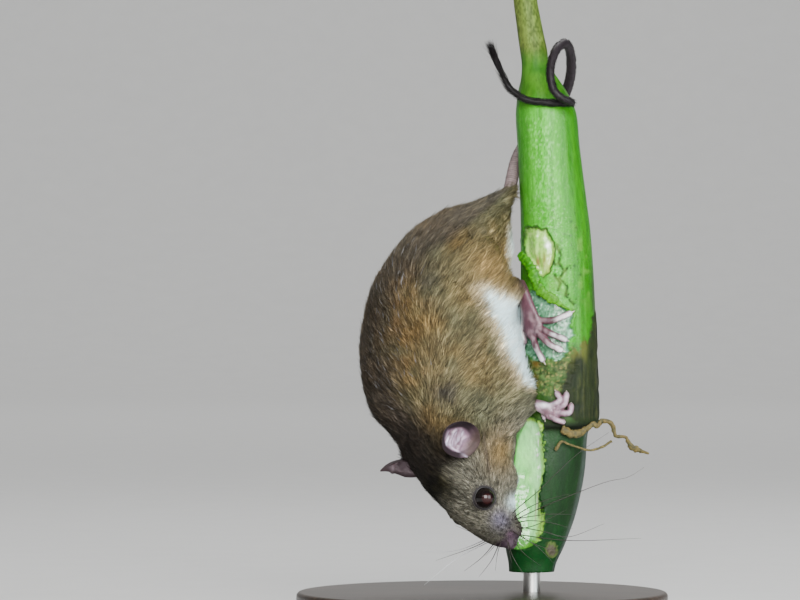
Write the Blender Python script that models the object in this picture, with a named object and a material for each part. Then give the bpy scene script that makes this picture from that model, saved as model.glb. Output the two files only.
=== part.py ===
"""A climbing mouse gnawing a hanging green flower stalk, life size, on a plain display stand.

Row frame: metres, +Z up, origin at the middle of the underside of the base.
The sizes below are in millimetres, turned into metres when a mesh is made. The heights of the
stalk and the mouse are measured from a level DROP below the underside of the base.
X runs to the right of the side view, Y runs away from the viewer. The mouse hangs head down
with its belly against the stalk, so its left side faces -Y.
"""

import math

import bmesh
import bpy
import numpy as np
from mathutils import Matrix, Vector
from mathutils.bvhtree import BVHTree

# Driving sizes of the stand, in millimetres
MM = 0.001
GAP = 0.3
DROP = 21.0
BASE_RADIUS = 65.0
BASE_HEIGHT = 10.0
BASE_BEVEL = 1.5
ROD_RADIUS = 3.0

# The stalk: height, sideways place of its middle, radius
STALK_FOOT = 38.0
STALK_TOP = 246.0
STALK = (
    (STALK_FOOT, 17.4, 8.0),
    (41.5, 17.7, 8.6),
    (48.0, 18.7, 10.6),
    (58.5, 20.8, 12.0),
    (72.8, 22.8, 13.0),
    (86.8, 24.2, 13.0),
    (89.6, 26.2, 14.2),
    (98.0, 26.8, 13.9),
    (115.5, 26.8, 13.4),
    (133.0, 26.6, 13.0),
    (147.0, 26.1, 12.7),
    (162.8, 25.3, 12.0),
    (185.9, 23.4, 11.0),
    (196.0, 22.7, 10.85),
    (200.6, 22.2, 10.2),
    (205.5, 21.3, 8.7),
    (210.4, 20.2, 6.6),
    (215.3, 18.7, 4.8),
    (220.2, 18.1, 4.75),
    (227.5, 16.8, 4.45),
    (238.0, 15.2, 4.1),
    (STALK_TOP, 14.7, 4.0),
)
STALK_SIDES = 20
STALK_RINGS = 25

# The trunk, from the root of the tail to the neck: middle of each section (x, y, z),
# half its width from side to side, half its depth from back to belly, fur included
TRUNK = (
    (9.6, 0.0, 171.5, 2.5, 2.3),
    (4.6, 0.0, 165.2, 6.6, 6.2),
    (-1.2, 0.0, 156.8, 14.0, 14.0),
    (-5.4, 0.0, 151.0, 17.0, 17.6),
    (-9.8, 0.0, 144.2, 19.6, 21.1),
    (-12.4, 0.0, 137.0, 21.2, 24.2),
    (-13.7, 0.0, 129.5, 22.6, 27.1),
    (-13.8, 0.0, 116.0, 23.6, 29.2),
    (-13.0, 0.0, 103.1, 22.6, 28.1),
    (-10.4, -1.5, 92.5, 20.2, 23.9),
    (-9.2, -3.5, 84.0, 18.2, 20.8),
    (-9.0, -5.0, 77.0, 16.6, 18.4),
)

# The head: its own axes run forward to the nose, up to the crown and out to its left
NOSE_TIP = Vector((10.9, -12.0, 47.0))
HEAD_AIM = Vector((0.43, -0.17, -0.89)).normalized()
HEAD_ROLL = math.radians(40)
# distance behind the nose, rise of the middle, half width, half height
HEAD = (
    (0.0, 0.0, 1.5, 1.7),
    (1.6, 0.2, 3.1, 3.3),
    (4.0, 0.8, 4.8, 5.4),
    (8.0, 1.9, 6.9, 8.0),
    (12.0, 2.7, 8.7, 10.0),
    (16.0, 3.3, 10.3, 11.7),
    (20.5, 3.7, 12.0, 13.4),
    (26.0, 3.7, 13.9, 15.5),
    (31.0, 3.3, 16.0, 17.8),
    (37.0, 2.2, 18.0, 19.8),
    (43.0, 1.0, 18.6, 20.6),
)
HEAD_LENGTH = 41.0

# distance behind the nose, to the side and up of each eye and of the brow around it
EYES = {"left": (18.4, 9.2, 9.9), "right": (18.3, 9.0, 9.3)}
BROWS = {"left": (18.8, 7.0, 7.4), "right": (18.8, 6.8, 6.9)}
EYE_RADIUS = 3.4
EAR_ROOT = {"left": (34.6, 14.3, 7.6), "right": (37.6, 14.3, 7.6)}
EAR_SUNK = 1.2
EAR_STAND = 4.4
EAR_LENGTH = {"left": 16.4, "right": 15.6}
EAR_WIDTH = 13.6
EAR_THICKNESS = 0.8
# which way each ear points and opens: its length and its width, from side to side
EAR_AIMS = {
    "left": (Vector((-0.80, -0.52, 0.28)), Vector((0.40, -0.14, 0.90))),
    "right": (Vector((-0.76, 0.46, 0.45)), Vector((-0.30, -0.88, 0.26))),
}
MUZZLE_LENGTH = 12.6
# The line of the mouth: distance behind the nose, and the slope at which it is met from inside
MOUTH = ((3.2, 0.15, -1.0), (4.6, 0.75, -1.0), (7.0, 1.0, -0.9), (9.6, 1.2, -0.8))

# Torn fibres of the sheath, and a strip peeled off the stalk (x, height, lift)
FIBRE = (
    (27.3, -14.6, 88.2),
    (32.2, -13.4, 86.4),
    (36.0, -11.8, 88.2),
    (38.5, -11.0, 89.9),
    (39.9, -10.6, 89.0),
    (41.6, -10.2, 91.0),
    (44.8, -10.0, 90.0),
    (45.8, -9.8, 87.2),
    (46.8, -9.6, 85.6),
    (49.7, -9.4, 85.2),
    (51.4, -9.2, 82.3),
    (53.2, -9.0, 81.2),
    (58.0, -8.8, 79.5),
)
THREAD = (
    (45.0, -9.8, 84.0),
    (41.6, -10.0, 81.9),
    (37.4, -10.8, 80.8),
    (32.9, -12.3, 81.9),
    (29.8, -13.6, 83.0),
    (27.3, -14.4, 83.8),
    (25.2, -14.2, 80.8),
)
PEEL = (
    (12.6, 149.0, 0.0),
    (15.1, 144.9, 0.4),
    (18.6, 138.6, 0.1),
    (21.4, 133.4, 0.3),
    (25.9, 132.4, 0.0),
    (28.8, 131.4, 0.2),
)

# The tail's line from the rump, round the back of the stalk, up and over in a loop,
# down in front, folded back and across to the left
TAIL_LINE = (
    (8.9, 0.5, 168.6),
    (10.1, 2.2, 173.2),
    (11.9, 7.8, 181.0),
    (15.0, 13.4, 187.6),
    (21.0, 18.0, 194.0),
    (28.0, 17.5, 202.5),
    (31.2, 12.0, 211.0),
    (31.2, 4.0, 219.0),
    (28.9, -3.5, 222.6),
    (25.4, -10.4, 219.5),
    (23.5, -14.4, 213.0),
    (24.2, -16.4, 206.6),
    (27.0, -16.6, 203.2),
    (29.8, -15.2, 202.0),
    (31.0, -12.5, 201.5),
    (29.6, -10.3, 201.4),
    (26.5, -11.0, 201.5),
    (22.3, -12.1, 201.6),
    (15.5, -11.2, 202.6),
    (10.4, -9.6, 205.8),
    (7.4, -9.0, 210.2),
    (5.4, -9.2, 215.0),
)
TAIL_ROOT_RADIUS = 2.3
TAIL_TIP_RADIUS = 0.9
TAIL_LENGTHS = 5
TAIL_SIDES = 8
TAIL_STEP = 2.4
TUFT_TIP = Vector((1.7, -9.6, 223.4))

# Whiskers: start inside the lip, a place on the way and the tip
WHISKER_RADIUS = 0.3
WHISKERS = (
    ((8.6, -13.6, 57.0), (25.9, -19.5, 72.8), (43.0, -20.5, 87.0)),
    ((9.6, -13.4, 55.4), (26.6, -19.8, 63.4), (55.3, -21.5, 75.2)),
    ((8.6, -13.8, 56.6), (21.7, -18.2, 57.8), (32.6, -18.5, 58.8)),
    ((8.0, -13.8, 55.0), (22.0, -18.5, 52.2), (42.4, -20.0, 55.3)),
    ((11.0, -13.0, 51.8), (30.0, -18.6, 49.8), (54.6, -21.0, 50.7)),
    ((8.2, -13.4, 52.8), (10.0, -17.6, 45.0), (14.7, -19.5, 37.1)),
    ((6.6, -13.4, 53.6), (4.4, -18.0, 48.6), (1.0, -22.0, 44.8)),
    ((7.6, -13.2, 52.6), (5.2, -17.4, 45.8), (4.2, -20.0, 39.4)),
    ((5.6, -9.0, 50.4), (-8.5, 1.2, 42.6), (-20.3, 4.5, 32.9)),
    ((5.6, -8.8, 51.4), (-3.0, 8.0, 46.0), (-16.0, 23.0, 40.5)),
    ((5.2, -8.8, 52.6), (-1.0, 11.0, 50.5), (-9.0, 31.0, 52.5)),
    ((5.0, -9.0, 53.2), (-2.5, 8.0, 56.5), (-14.0, 28.0, 63.5)),
    ((5.8, -9.0, 51.8), (-9.0, 5.5, 45.0), (-24.0, 15.0, 44.5)),
    ((6.4, -8.6, 49.6), (3.4, 0.0, 42.0), (-1.0, 8.0, 35.5)),
    ((5.8, -8.6, 50.6), (0.5, 5.0, 43.0), (-6.0, 18.0, 37.0)),
)


def clear_scene():
    for obj in list(bpy.data.objects):
        bpy.data.objects.remove(obj, do_unlink=True)


def material(name, colour, roughness, metallic=0.0):
    """A Principled finish in one plain colour."""
    made = bpy.data.materials.new(name)
    made.use_nodes = True
    shader = made.node_tree.nodes["Principled BSDF"]
    shader.inputs["Base Color"].default_value = (*colour, 1.0)
    shader.inputs["Roughness"].default_value = roughness
    shader.inputs["Metallic"].default_value = metallic
    made.diffuse_color = (*colour, 1.0)
    return made


def add_object(name, bm, finish=None):
    """Turns a bmesh in millimetres into an object in metres."""
    bmesh.ops.scale(bm, vec=(MM, MM, MM), verts=bm.verts)
    bmesh.ops.recalc_face_normals(bm, faces=bm.faces)
    mesh = bpy.data.meshes.new(name)
    bm.to_mesh(mesh)
    bm.free()
    obj = bpy.data.objects.new(name, mesh)
    bpy.context.scene.collection.objects.link(obj)
    if finish:
        mesh.materials.append(finish)
    return obj


def curve_through(points, count):
    """count points spread evenly along a smooth (Catmull-Rom) curve through rows of numbers."""
    rows = np.array(points, float)
    ends = np.vstack([2 * rows[0] - rows[1], rows, 2 * rows[-1] - rows[-2]])
    fine = []
    steps = 24
    for i in range(1, len(ends) - 2):
        a, b, c, d = ends[i - 1 : i + 3]
        for k in range(steps):
            t = k / steps
            bend = (2 * a - 5 * b + 4 * c - d) * t * t + (3 * b - a - 3 * c + d) * t**3
            fine.append(0.5 * (2 * b + (c - a) * t + bend))
    fine.append(rows[-1])
    fine = np.array(fine)
    run = np.concatenate([[0], np.cumsum(np.linalg.norm(np.diff(fine[:, :3], axis=0), axis=1))])
    wanted = np.linspace(0, run[-1], count)
    return np.stack([np.interp(wanted, run, fine[:, k]) for k in range(fine.shape[1])], axis=1)


def tube(bm, centres, widths, depths, first_side, sides, hints=None, aheads=None):
    """A closed tube of oval rings. first_side is about where the first ring's width axis points;
    hints says it again for every ring, and aheads gives the line's own direction at each."""
    centres = [Vector(c) for c in centres]
    side = Vector(first_side)
    rings = []
    for i, centre in enumerate(centres):
        ahead = centres[min(i + 1, len(centres) - 1)] - centres[max(i - 1, 0)]
        if aheads:
            ahead = Vector(aheads[i])
        ahead.normalize()
        if hints:
            side = hints[i]
        side = (side - ahead * side.dot(ahead)).normalized()
        up = ahead.cross(side)
        ring = []
        for k in range(sides):
            angle = 2 * math.pi * k / sides
            place = centre + side * (widths[i] * math.cos(angle)) + up * (depths[i] * math.sin(angle))
            ring.append(bm.verts.new(place))
        rings.append(ring)
    for one, two in zip(rings, rings[1:]):
        for k in range(sides):
            bm.faces.new((one[k], one[(k + 1) % sides], two[(k + 1) % sides], two[k]))
    for ring, centre in ((rings[0], centres[0]), (rings[-1], centres[-1])):
        middle = bm.verts.new(centre)
        for k in range(sides):
            bm.faces.new((ring[k], ring[(k + 1) % sides], middle))


def ball(bm, centre, radii, turn=None, segments=16, rings=10):
    """A closed ellipsoid; turn is a 3x3 matrix for its axes."""
    matrix = Matrix.Translation(Vector(centre))
    if turn is not None:
        matrix = matrix @ turn.to_4x4()
    matrix = matrix @ Matrix.Diagonal((*radii, 1.0))
    bmesh.ops.create_uvsphere(bm, u_segments=segments, v_segments=rings, radius=1.0, matrix=matrix)


def evaluated_mesh(obj):
    """Applies an object's modifiers to its own mesh."""
    graph = bpy.context.evaluated_depsgraph_get()
    made = bpy.data.meshes.new_from_object(obj.evaluated_get(graph), depsgraph=graph)
    finishes = [slot.material for slot in obj.material_slots]
    obj.modifiers.clear()
    obj.data = made
    if finishes and not made.materials:
        for finish in finishes:
            made.materials.append(finish)


def keep_largest(obj):
    """Leaves only the largest closed surface of a mesh, with the slivers of its cuts closed."""
    bm = bmesh.new()
    bm.from_mesh(obj.data)
    left = set(bm.verts)
    islands = []
    while left:
        seed = left.pop()
        island, stack = {seed}, [seed]
        while stack:
            for edge in stack.pop().link_edges:
                for vert in edge.verts:
                    if vert in left:
                        left.discard(vert)
                        island.add(vert)
                        stack.append(vert)
        islands.append(island)
    islands.sort(key=len, reverse=True)
    for island in islands[1:]:
        bmesh.ops.delete(bm, geom=list(island), context="VERTS")
    bmesh.ops.remove_doubles(bm, verts=bm.verts, dist=0.01 * MM)
    open_edges = [edge for edge in bm.edges if len(edge.link_faces) == 1]
    bmesh.ops.holes_fill(bm, edges=open_edges, sides=8)
    bm.to_mesh(obj.data)
    bm.free()


def boolean(obj, other, operation, solver="EXACT"):
    """Joins, cuts or keeps the shared part of two closed meshes, in obj."""
    step = obj.modifiers.new(operation.lower(), "BOOLEAN")
    step.operation = operation
    step.solver = solver
    step.object = other
    evaluated_mesh(obj)


def fuse(name, pieces, finish):
    """One Boolean union of several closed meshes, which are then removed."""
    group = bpy.data.collections.new(name + "_pieces")
    bpy.context.scene.collection.children.link(group)
    first, rest = pieces[0], pieces[1:]
    for piece in rest:
        bpy.context.scene.collection.objects.unlink(piece)
        group.objects.link(piece)
    step = first.modifiers.new("union", "BOOLEAN")
    step.operation = "UNION"
    step.solver = "EXACT"
    step.operand_type = "COLLECTION"
    step.collection = group
    evaluated_mesh(first)
    for piece in rest:
        bpy.data.objects.remove(piece, do_unlink=True)
    bpy.data.collections.remove(group)
    first.name = name
    first.data.name = name
    first.data.materials.clear()
    first.data.materials.append(finish)
    keep_largest(first)
    return first


def copy_of(obj, name):
    made = obj.copy()
    made.data = obj.data.copy()
    made.name = name
    bpy.context.scene.collection.objects.link(made)
    return made


def remove(*objects):
    for obj in objects:
        bpy.data.objects.remove(obj, do_unlink=True)


def stalk_at(height):
    """(sideways place of the middle, radius) of the stalk at a height."""
    rows = np.array(STALK)
    return np.interp(height, rows[:, 0], rows[:, 1]), np.interp(height, rows[:, 0], rows[:, 2])


def on_stalk(x, z, off, side):
    """A point that stands off the stalk's surface, in front of it (side -1) or behind (side 1)."""
    middle, radius = stalk_at(z)
    reach = radius + off
    across = max(-0.985, min(0.985, (x - middle) / reach))
    return Vector((middle + across * reach, side * reach * math.sqrt(1 - across * across), z))


def stalk_form(name, grow=0.0):
    """The whole stalk as a turned form on a bent line, grown by a clearance for a cutter."""
    rows = curve_through([(0, 0, z, x, r) for z, x, r in STALK], STALK_RINGS)
    bm = bmesh.new()
    rings = []
    for _, _, z, x, r in rows:
        ring = []
        for k in range(STALK_SIDES):
            angle = 2 * math.pi * k / STALK_SIDES
            ring.append(
                bm.verts.new((x + (r + grow) * math.cos(angle), (r + grow) * math.sin(angle), z))
            )
        rings.append(ring)
    for one, two in zip(rings, rings[1:]):
        for k in range(STALK_SIDES):
            bm.faces.new((one[k], one[(k + 1) % STALK_SIDES], two[(k + 1) % STALK_SIDES], two[k]))
    bm.faces.new(rings[0][::-1])
    bm.faces.new(rings[-1])
    return add_object(name, bm)


def head_axes():
    """Forward, left and up of the head, turned about its length so that the crown shows."""
    flat_up = Vector((HEAD_AIM.z, 0, -HEAD_AIM.x))
    flat_up = (flat_up - HEAD_AIM * flat_up.dot(HEAD_AIM)).normalized()
    flat_left = flat_up.cross(HEAD_AIM).normalized()
    up = flat_up * math.cos(HEAD_ROLL) + flat_left * math.sin(HEAD_ROLL)
    left = up.cross(HEAD_AIM).normalized()
    return HEAD_AIM.copy(), left, up


def in_head(back, left, up):
    """A point of the head from its distance behind the nose, to its left and up."""
    forward, to_left, to_up = head_axes()
    return NOSE_TIP - forward * back + to_left * left + to_up * up


def head_turn():
    """Matrix whose columns are the head's forward, left and up axes."""
    return Matrix(head_axes()).transposed()


def add_trunk(bm):
    rows = curve_through(TRUNK, 40)
    tube(bm, rows[:, :3], rows[:, 3], rows[:, 4], (0, 1, 0), 28)


def add_head(bm):
    forward, left, up = head_axes()
    rows = curve_through([(s, 0, 0, rise, w, h) for s, rise, w, h in HEAD], 26)
    centres = [in_head(row[0], 0, row[3]) for row in rows]
    tube(bm, centres, rows[:, 4], rows[:, 5], left, 28)
    for side, word in ((1, "left"), (-1, "right")):
        back, out, above = BROWS[word]
        ball(bm, in_head(6.2, 3.3 * side, -0.4), (4.3, 3.0, 3.7), head_turn())
        ball(bm, in_head(back, out * side, above), (6.0, 4.7, 5.0), head_turn())
        ball(bm, in_head(24.5, 7.2 * side, -1.6), (9.0, 6.0, 7.6), head_turn())
    ball(bm, in_head(1.3, 0, 0.5), (1.6, 2.2, 1.7), head_turn())


def add_flank(bm, side):
    """The loose fur of the belly that spreads out beside the stalk."""
    line = ((7.0, 9.0, 137), (4.0, 13.5, 122), (5.6, 15.2, 108), (7.0, 15.6, 96), (2.0, 13.5, 86))
    rows = curve_through(line, 14)
    sizes = np.interp(np.linspace(0, 1, 14), (0, 0.3, 0.7, 1), (4.0, 9.5, 11.0, 7.5))
    tube(bm, [(x, y * side, z) for x, y, z in rows], sizes, sizes * 0.72, (1, 0, 0), 16)


def add_legs(bm, side):
    """The furred part of the legs of one side: side -1 is the animal's left."""
    drop = 0.0 if side < 0 else -3.0
    haunch = ((-10, 12.0, 146), (-3, 14.5, 139), (3.0, 14.6, 131.5), (7.0, 13.6, 128.5))
    rows = curve_through([(x, y * side, z + drop) for x, y, z in haunch], 12)
    sizes = np.interp(np.linspace(0, 1, 12), (0, 0.35, 0.75, 1), (12.5, 12.0, 8.6, 6.0))
    tube(bm, rows, sizes * 0.8, sizes * 1.15, (0, 1, 0), 16)
    shank = ((6.0, 13.4, 129.5), (9.6, 12.2, 134.5), (12.0, 11.0, 139.0), (12.9, 10.6, 139.6))
    rows = curve_through([(x, y * side, z + drop) for x, y, z in shank], 8)
    sizes = np.linspace(5.8, 2.7, 8)
    tube(bm, rows, sizes, sizes, (0, 1, 0), 12)
    arm = ((-14, 12.5, 101), (-4, 14.6, 98), (5.5, 15.8, 95.5), (12.5, 15.6, 95.8), (18.0, 14.2, 96.6))
    rows = curve_through([(x, y * side, z - drop * 0.7) for x, y, z in arm], 14)
    sizes = np.interp(np.linspace(0, 1, 14), (0, 0.3, 0.6, 0.85, 1), (11.0, 10.0, 7.6, 4.6, 3.0))
    tube(bm, rows, sizes * 0.85, sizes * 1.05, (0, 1, 0), 16)


def body_form():
    """Trunk, head and furred legs melted into one smooth surface."""
    bm = bmesh.new()
    add_trunk(bm)
    add_head(bm)
    for side in (-1, 1):
        add_flank(bm, side)
        add_legs(bm, side)
    body = add_object("body_form", bm)
    melt = body.modifiers.new("melt", "REMESH")
    melt.mode = "VOXEL"
    melt.voxel_size = 0.9 * MM
    soften = body.modifiers.new("soften", "SMOOTH")
    soften.factor = 0.5
    soften.iterations = 10
    evaluated_mesh(body)
    return body


def thinned(obj, name, triangles):
    """A copy with about that many triangles."""
    made = copy_of(obj, name)
    made.data.calc_loop_triangles()
    step = made.modifiers.new("thin", "DECIMATE")
    step.ratio = triangles / len(made.data.loop_triangles)
    step.use_collapse_triangulate = True
    evaluated_mesh(made)
    return made


def half_space(name, point, normal, shift=0.0):
    """A large block that fills the side of a plane that normal points to."""
    size = 260.0
    normal = Vector(normal).normalized()
    bm = bmesh.new()
    bmesh.ops.create_cube(bm, size=size)
    turn = normal.to_track_quat("Z", "Y").to_matrix().to_4x4()
    place = Matrix.Translation(Vector(point) + normal * (size / 2 + shift))
    bmesh.ops.transform(bm, matrix=place @ turn, verts=bm.verts)
    return add_object(name, bm)


def part_by_plane(obj, name, point, normal):
    """Cuts off what lies past a plane as a new node, with the gap that touching meshes keep."""
    piece = copy_of(obj, name)
    kept = half_space("kept", point, normal, GAP / 2)
    boolean(piece, kept, "INTERSECT")
    cut = half_space("cut", point, normal, -GAP / 2)
    boolean(obj, cut, "DIFFERENCE")
    remove(kept, cut)
    keep_largest(piece)
    keep_largest(obj)
    return piece


def part_by_ball(obj, name, centre, radii, turn=None):
    """Cuts out what lies in an ellipsoid as a new node, with the same gap."""
    piece = copy_of(obj, name)
    for target, operation, grow in ((piece, "INTERSECT", -GAP / 2), (obj, "DIFFERENCE", GAP / 2)):
        bm = bmesh.new()
        ball(bm, centre, [r + grow for r in radii], turn, 20, 14)
        cutter = add_object("cutter", bm)
        boolean(target, cutter, operation)
        remove(cutter)
        keep_largest(target)
    return piece


def finish_node(obj, finish):
    obj.data.materials.clear()
    obj.data.materials.append(finish)
    obj.data.shade_smooth()
    obj.data.set_sharp_from_angle(angle=math.radians(40))
    return obj


def grown(obj, name, by):
    """A copy whose surface is pushed out, to cut neighbours clear of it."""
    made = copy_of(obj, name)
    bm = bmesh.new()
    bm.from_mesh(made.data)
    bm.normal_update()
    for vert in bm.verts:
        vert.co += vert.normal * by * MM
    bm.to_mesh(made.data)
    bm.free()
    return made


def make_body(finishes):
    """Parts the melted body into head, neck, chest, belly, rump and the furred legs."""
    whole = body_form()
    stalk_cutter = stalk_form("stalk_cutter", GAP)
    forward, left, up = head_axes()
    nape = in_head(HEAD_LENGTH, 0, 0)

    head = thinned(whole, "head", 2250)
    boolean(head, stalk_cutter, "DIFFERENCE")
    front = half_space("front", nape + forward * GAP, forward)
    boolean(head, front, "INTERSECT")
    keep_largest(head)

    trunk = thinned(whole, "abdomen", 2600)
    boolean(trunk, stalk_cutter, "DIFFERENCE")
    behind = half_space("behind", nape, -forward)
    boolean(trunk, behind, "INTERSECT")
    keep_largest(trunk)
    clear = [grown(head, "clear_head", GAP), grown(trunk, "clear_trunk", GAP), stalk_cutter]
    remove(front, behind, whole)

    for side, word in ((-1, "left"), (1, "right")):
        drop = 0.0 if side < 0 else -3.0
        hindleg = part_by_ball(
            trunk, "hindleg_" + word, (-1.5, 18.5 * side, 136.0 + drop), (18.0, 11.5, 17.0)
        )
        foreleg = part_by_ball(
            trunk, "foreleg_" + word, (5.0, 19.0 * side, 96.5 - drop * 0.7), (17.5, 11.0, 13.0)
        )
        for leg in (hindleg, foreleg):
            finish_node(leg, finishes["fur"])
    neck = part_by_plane(trunk, "neck", (-10.5, 0, 92.0), (0.18, 0, -1))
    chest = part_by_plane(trunk, "chest", (-13.5, 0, 114.0), (0.0, 0, -1))
    rump = part_by_plane(trunk, "rump", (-10.0, 0, 145.0), (0.42, 0, 1))
    for node in (head, neck, chest, trunk, rump):
        finish_node(node, finishes["fur"])
    return head, clear


def set_eyes(head, finishes):
    """Round lids raised on the head, a socket in them, and the eyeball in the socket."""
    forward, left, up = head_axes()
    for side, word in ((1, "left"), (-1, "right")):
        back, aside, above = EYES[word]
        centre = in_head(back, aside * side, above)
        out = (left * side * 0.86 + up * 0.42 + forward * 0.28).normalized()
        bm = bmesh.new()
        ring, tube_sides = 20, 6
        turn = out.to_track_quat("Z", "Y").to_matrix().to_4x4()
        rows = []
        for i in range(ring):
            angle = 2 * math.pi * i / ring
            row = []
            for k in range(tube_sides):
                around = 2 * math.pi * k / tube_sides
                reach = EYE_RADIUS + 0.1 + 0.8 * math.cos(around)
                place = Vector(
                    (reach * math.cos(angle), reach * math.sin(angle), 0.5 + 0.8 * math.sin(around))
                )
                row.append(bm.verts.new(centre + turn.to_3x3() @ place))
            rows.append(row)
        for i in range(ring):
            for k in range(tube_sides):
                one, two = rows[i], rows[(i + 1) % ring]
                bm.faces.new((one[k], one[(k + 1) % tube_sides], two[(k + 1) % tube_sides], two[k]))
        lid = add_object("lid", bm)
        boolean(head, lid, "UNION")
        bm = bmesh.new()
        ball(bm, centre, [EYE_RADIUS + GAP] * 3, turn.to_3x3(), 14, 9)
        socket = add_object("socket", bm)
        boolean(head, socket, "DIFFERENCE")
        remove(lid, socket)
        keep_largest(head)
        bm = bmesh.new()
        ball(bm, centre, [EYE_RADIUS] * 3, turn.to_3x3(), 14, 9)
        finish_node(add_object("eye_" + word, bm), finishes["eye"])


def surface_of(obj):
    """A quick ray caster for a mesh, in millimetres."""
    bm = bmesh.new()
    bm.from_mesh(obj.data)
    bmesh.ops.scale(bm, vec=(1 / MM, 1 / MM, 1 / MM), verts=bm.verts)
    made = BVHTree.FromBMesh(bm)
    bm.free()
    return made


def make_muzzle(head, finish):
    """The front of the head as its own node, with nostrils, lips, the line of the mouth
    and the whiskers."""
    forward, left, up = head_axes()
    muzzle = part_by_plane(head, "muzzle", in_head(MUZZLE_LENGTH, 0, 0), forward)
    skin = surface_of(muzzle)
    cuts = []
    for side in (-1, 1):
        line = []
        for back, out, rise in MOUTH:
            start = in_head(back, 0, 1.0)
            aim = (left * side * out + up * rise).normalized()
            place, normal, _, _ = skin.ray_cast(start, aim)
            line.append(place)
        rows = curve_through(line, 8)
        sizes = [0.2] + [0.42] * 6 + [0.2]
        bm = bmesh.new()
        tube(bm, rows, sizes, sizes, up, 5)
        cuts.append(add_object("mouth_line", bm))
        bm = bmesh.new()
        ball(bm, in_head(0.9, 1.75 * side, 0.6), (0.9, 0.42, 0.62), head_turn(), 8, 6)
        cuts.append(add_object("nostril", bm))
    for cut in cuts:
        boolean(muzzle, cut, "DIFFERENCE")
        remove(cut)
    pieces = [muzzle]
    for i, line in enumerate(WHISKERS):
        rows = curve_through(line, 4)
        sizes = np.array((1.0, 0.9, 0.65, 0.35)) * WHISKER_RADIUS
        bm = bmesh.new()
        tube(bm, rows, sizes, sizes, up, 3)
        pieces.append(add_object(f"whisker_{i}", bm))
    finish_node(fuse("muzzle", pieces, finish), finish)


def ear_form(side, word, skin):
    """A thin round cup on a narrow root: a bent sheet with a front and a back."""
    forward, left, up = head_axes()
    back, aside, above = EAR_ROOT[word]
    outward = (left * side * aside + up * above).normalized()
    surface, _, _, _ = skin.ray_cast(in_head(back, 0, 0), outward)
    root = surface - outward * EAR_SUNK
    rise, across = EAR_AIMS[word]
    rise = rise.normalized()
    across = (across - rise * across.dot(rise)).normalized()
    face = across.cross(rise)
    rows, columns = 11, 9
    bm = bmesh.new()
    sheets = []
    for shift in (EAR_THICKNESS / 2, -EAR_THICKNESS / 2):
        sheet = []
        for i in range(rows):
            v = i / (rows - 1)
            half = 0.5 * EAR_WIDTH * max(0.05, math.sin(math.pi * (0.17 + 0.83 * v) ** 1.25)) ** 0.6
            height = EAR_LENGTH[word] * v
            stand = outward * (EAR_STAND * (1 - (1 - min(1, v / 0.3)) ** 2))
            line = []
            for k in range(columns):
                u = -1 + 2 * k / (columns - 1)
                cup = (0.52 - 0.22 * v) * (1 + 0.3 * u)
                dip = cup * half * (u * u - 0.35) - 0.9 * math.sin(math.pi * v)
                dip += 2.3 * max(0, (v - 0.45) / 0.55) ** 2
                lift = height * (1 - 0.10 * u * u)
                place = root + stand + rise * lift + across * (half * u) + face * (dip + shift)
                line.append(bm.verts.new(place))
            sheet.append(line)
        sheets.append(sheet)
    front, back = sheets
    for i in range(rows - 1):
        for k in range(columns - 1):
            for sheet in sheets:
                a, b, c, d = sheet[i][k], sheet[i][k + 1], sheet[i + 1][k + 1], sheet[i + 1][k]
                bm.faces.new((a, b, c))
                bm.faces.new((a, c, d))
    rim = [(i, 0) for i in range(rows)]
    rim += [(rows - 1, k) for k in range(1, columns)]
    rim += [(i, columns - 1) for i in range(rows - 2, -1, -1)]
    rim += [(0, k) for k in range(columns - 2, 0, -1)]
    for (i, k), (j, m) in zip(rim, rim[1:] + rim[:1]):
        bm.faces.new((front[i][k], front[j][m], back[j][m], back[i][k]))
    return bm


def set_ears(clear, finishes):
    """Each ear is cut clear of the head that it grows from."""
    skin = surface_of(clear[0])
    for side, word in ((1, "left"), (-1, "right")):
        ear = add_object("ear_" + word, ear_form(side, word, skin))
        for cutter in clear[:2]:
            boolean(ear, cutter, "DIFFERENCE")
        keep_largest(ear)
        finish_node(ear, finishes["skin"])


def digit(name, points, side, root_radius, tip_radius):
    """A toe or finger that lies on the stalk, with a claw at its end."""
    swell = np.array((1.15, 1.0, 1.1, 1.15, 0.8))
    count = len(swell)
    rows = curve_through([(x, 0, z, lift) for x, z, lift in points], count)
    sizes = np.linspace(root_radius, tip_radius, count) * swell
    centres = [on_stalk(x, z, size + GAP + lift, side) for (x, _, z, lift), size in zip(rows, sizes)]
    bm = bmesh.new()
    tube(bm, centres, sizes, sizes, (0, 0, 1), 6)
    toe = add_object(name, bm)
    ahead = (centres[-1] - centres[-2]).normalized()
    lean = Vector((0, -side, 0)) * 0.35
    start = centres[-1] - ahead * 0.6
    line = [start, start + ahead * 1.1, start + (ahead + lean) * 1.9]
    bm = bmesh.new()
    tube(bm, line, (0.42, 0.36, 0.1), (0.42, 0.36, 0.1), (0, 0, 1), 4)
    return [toe, add_object(name + "_claw", bm)]


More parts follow.
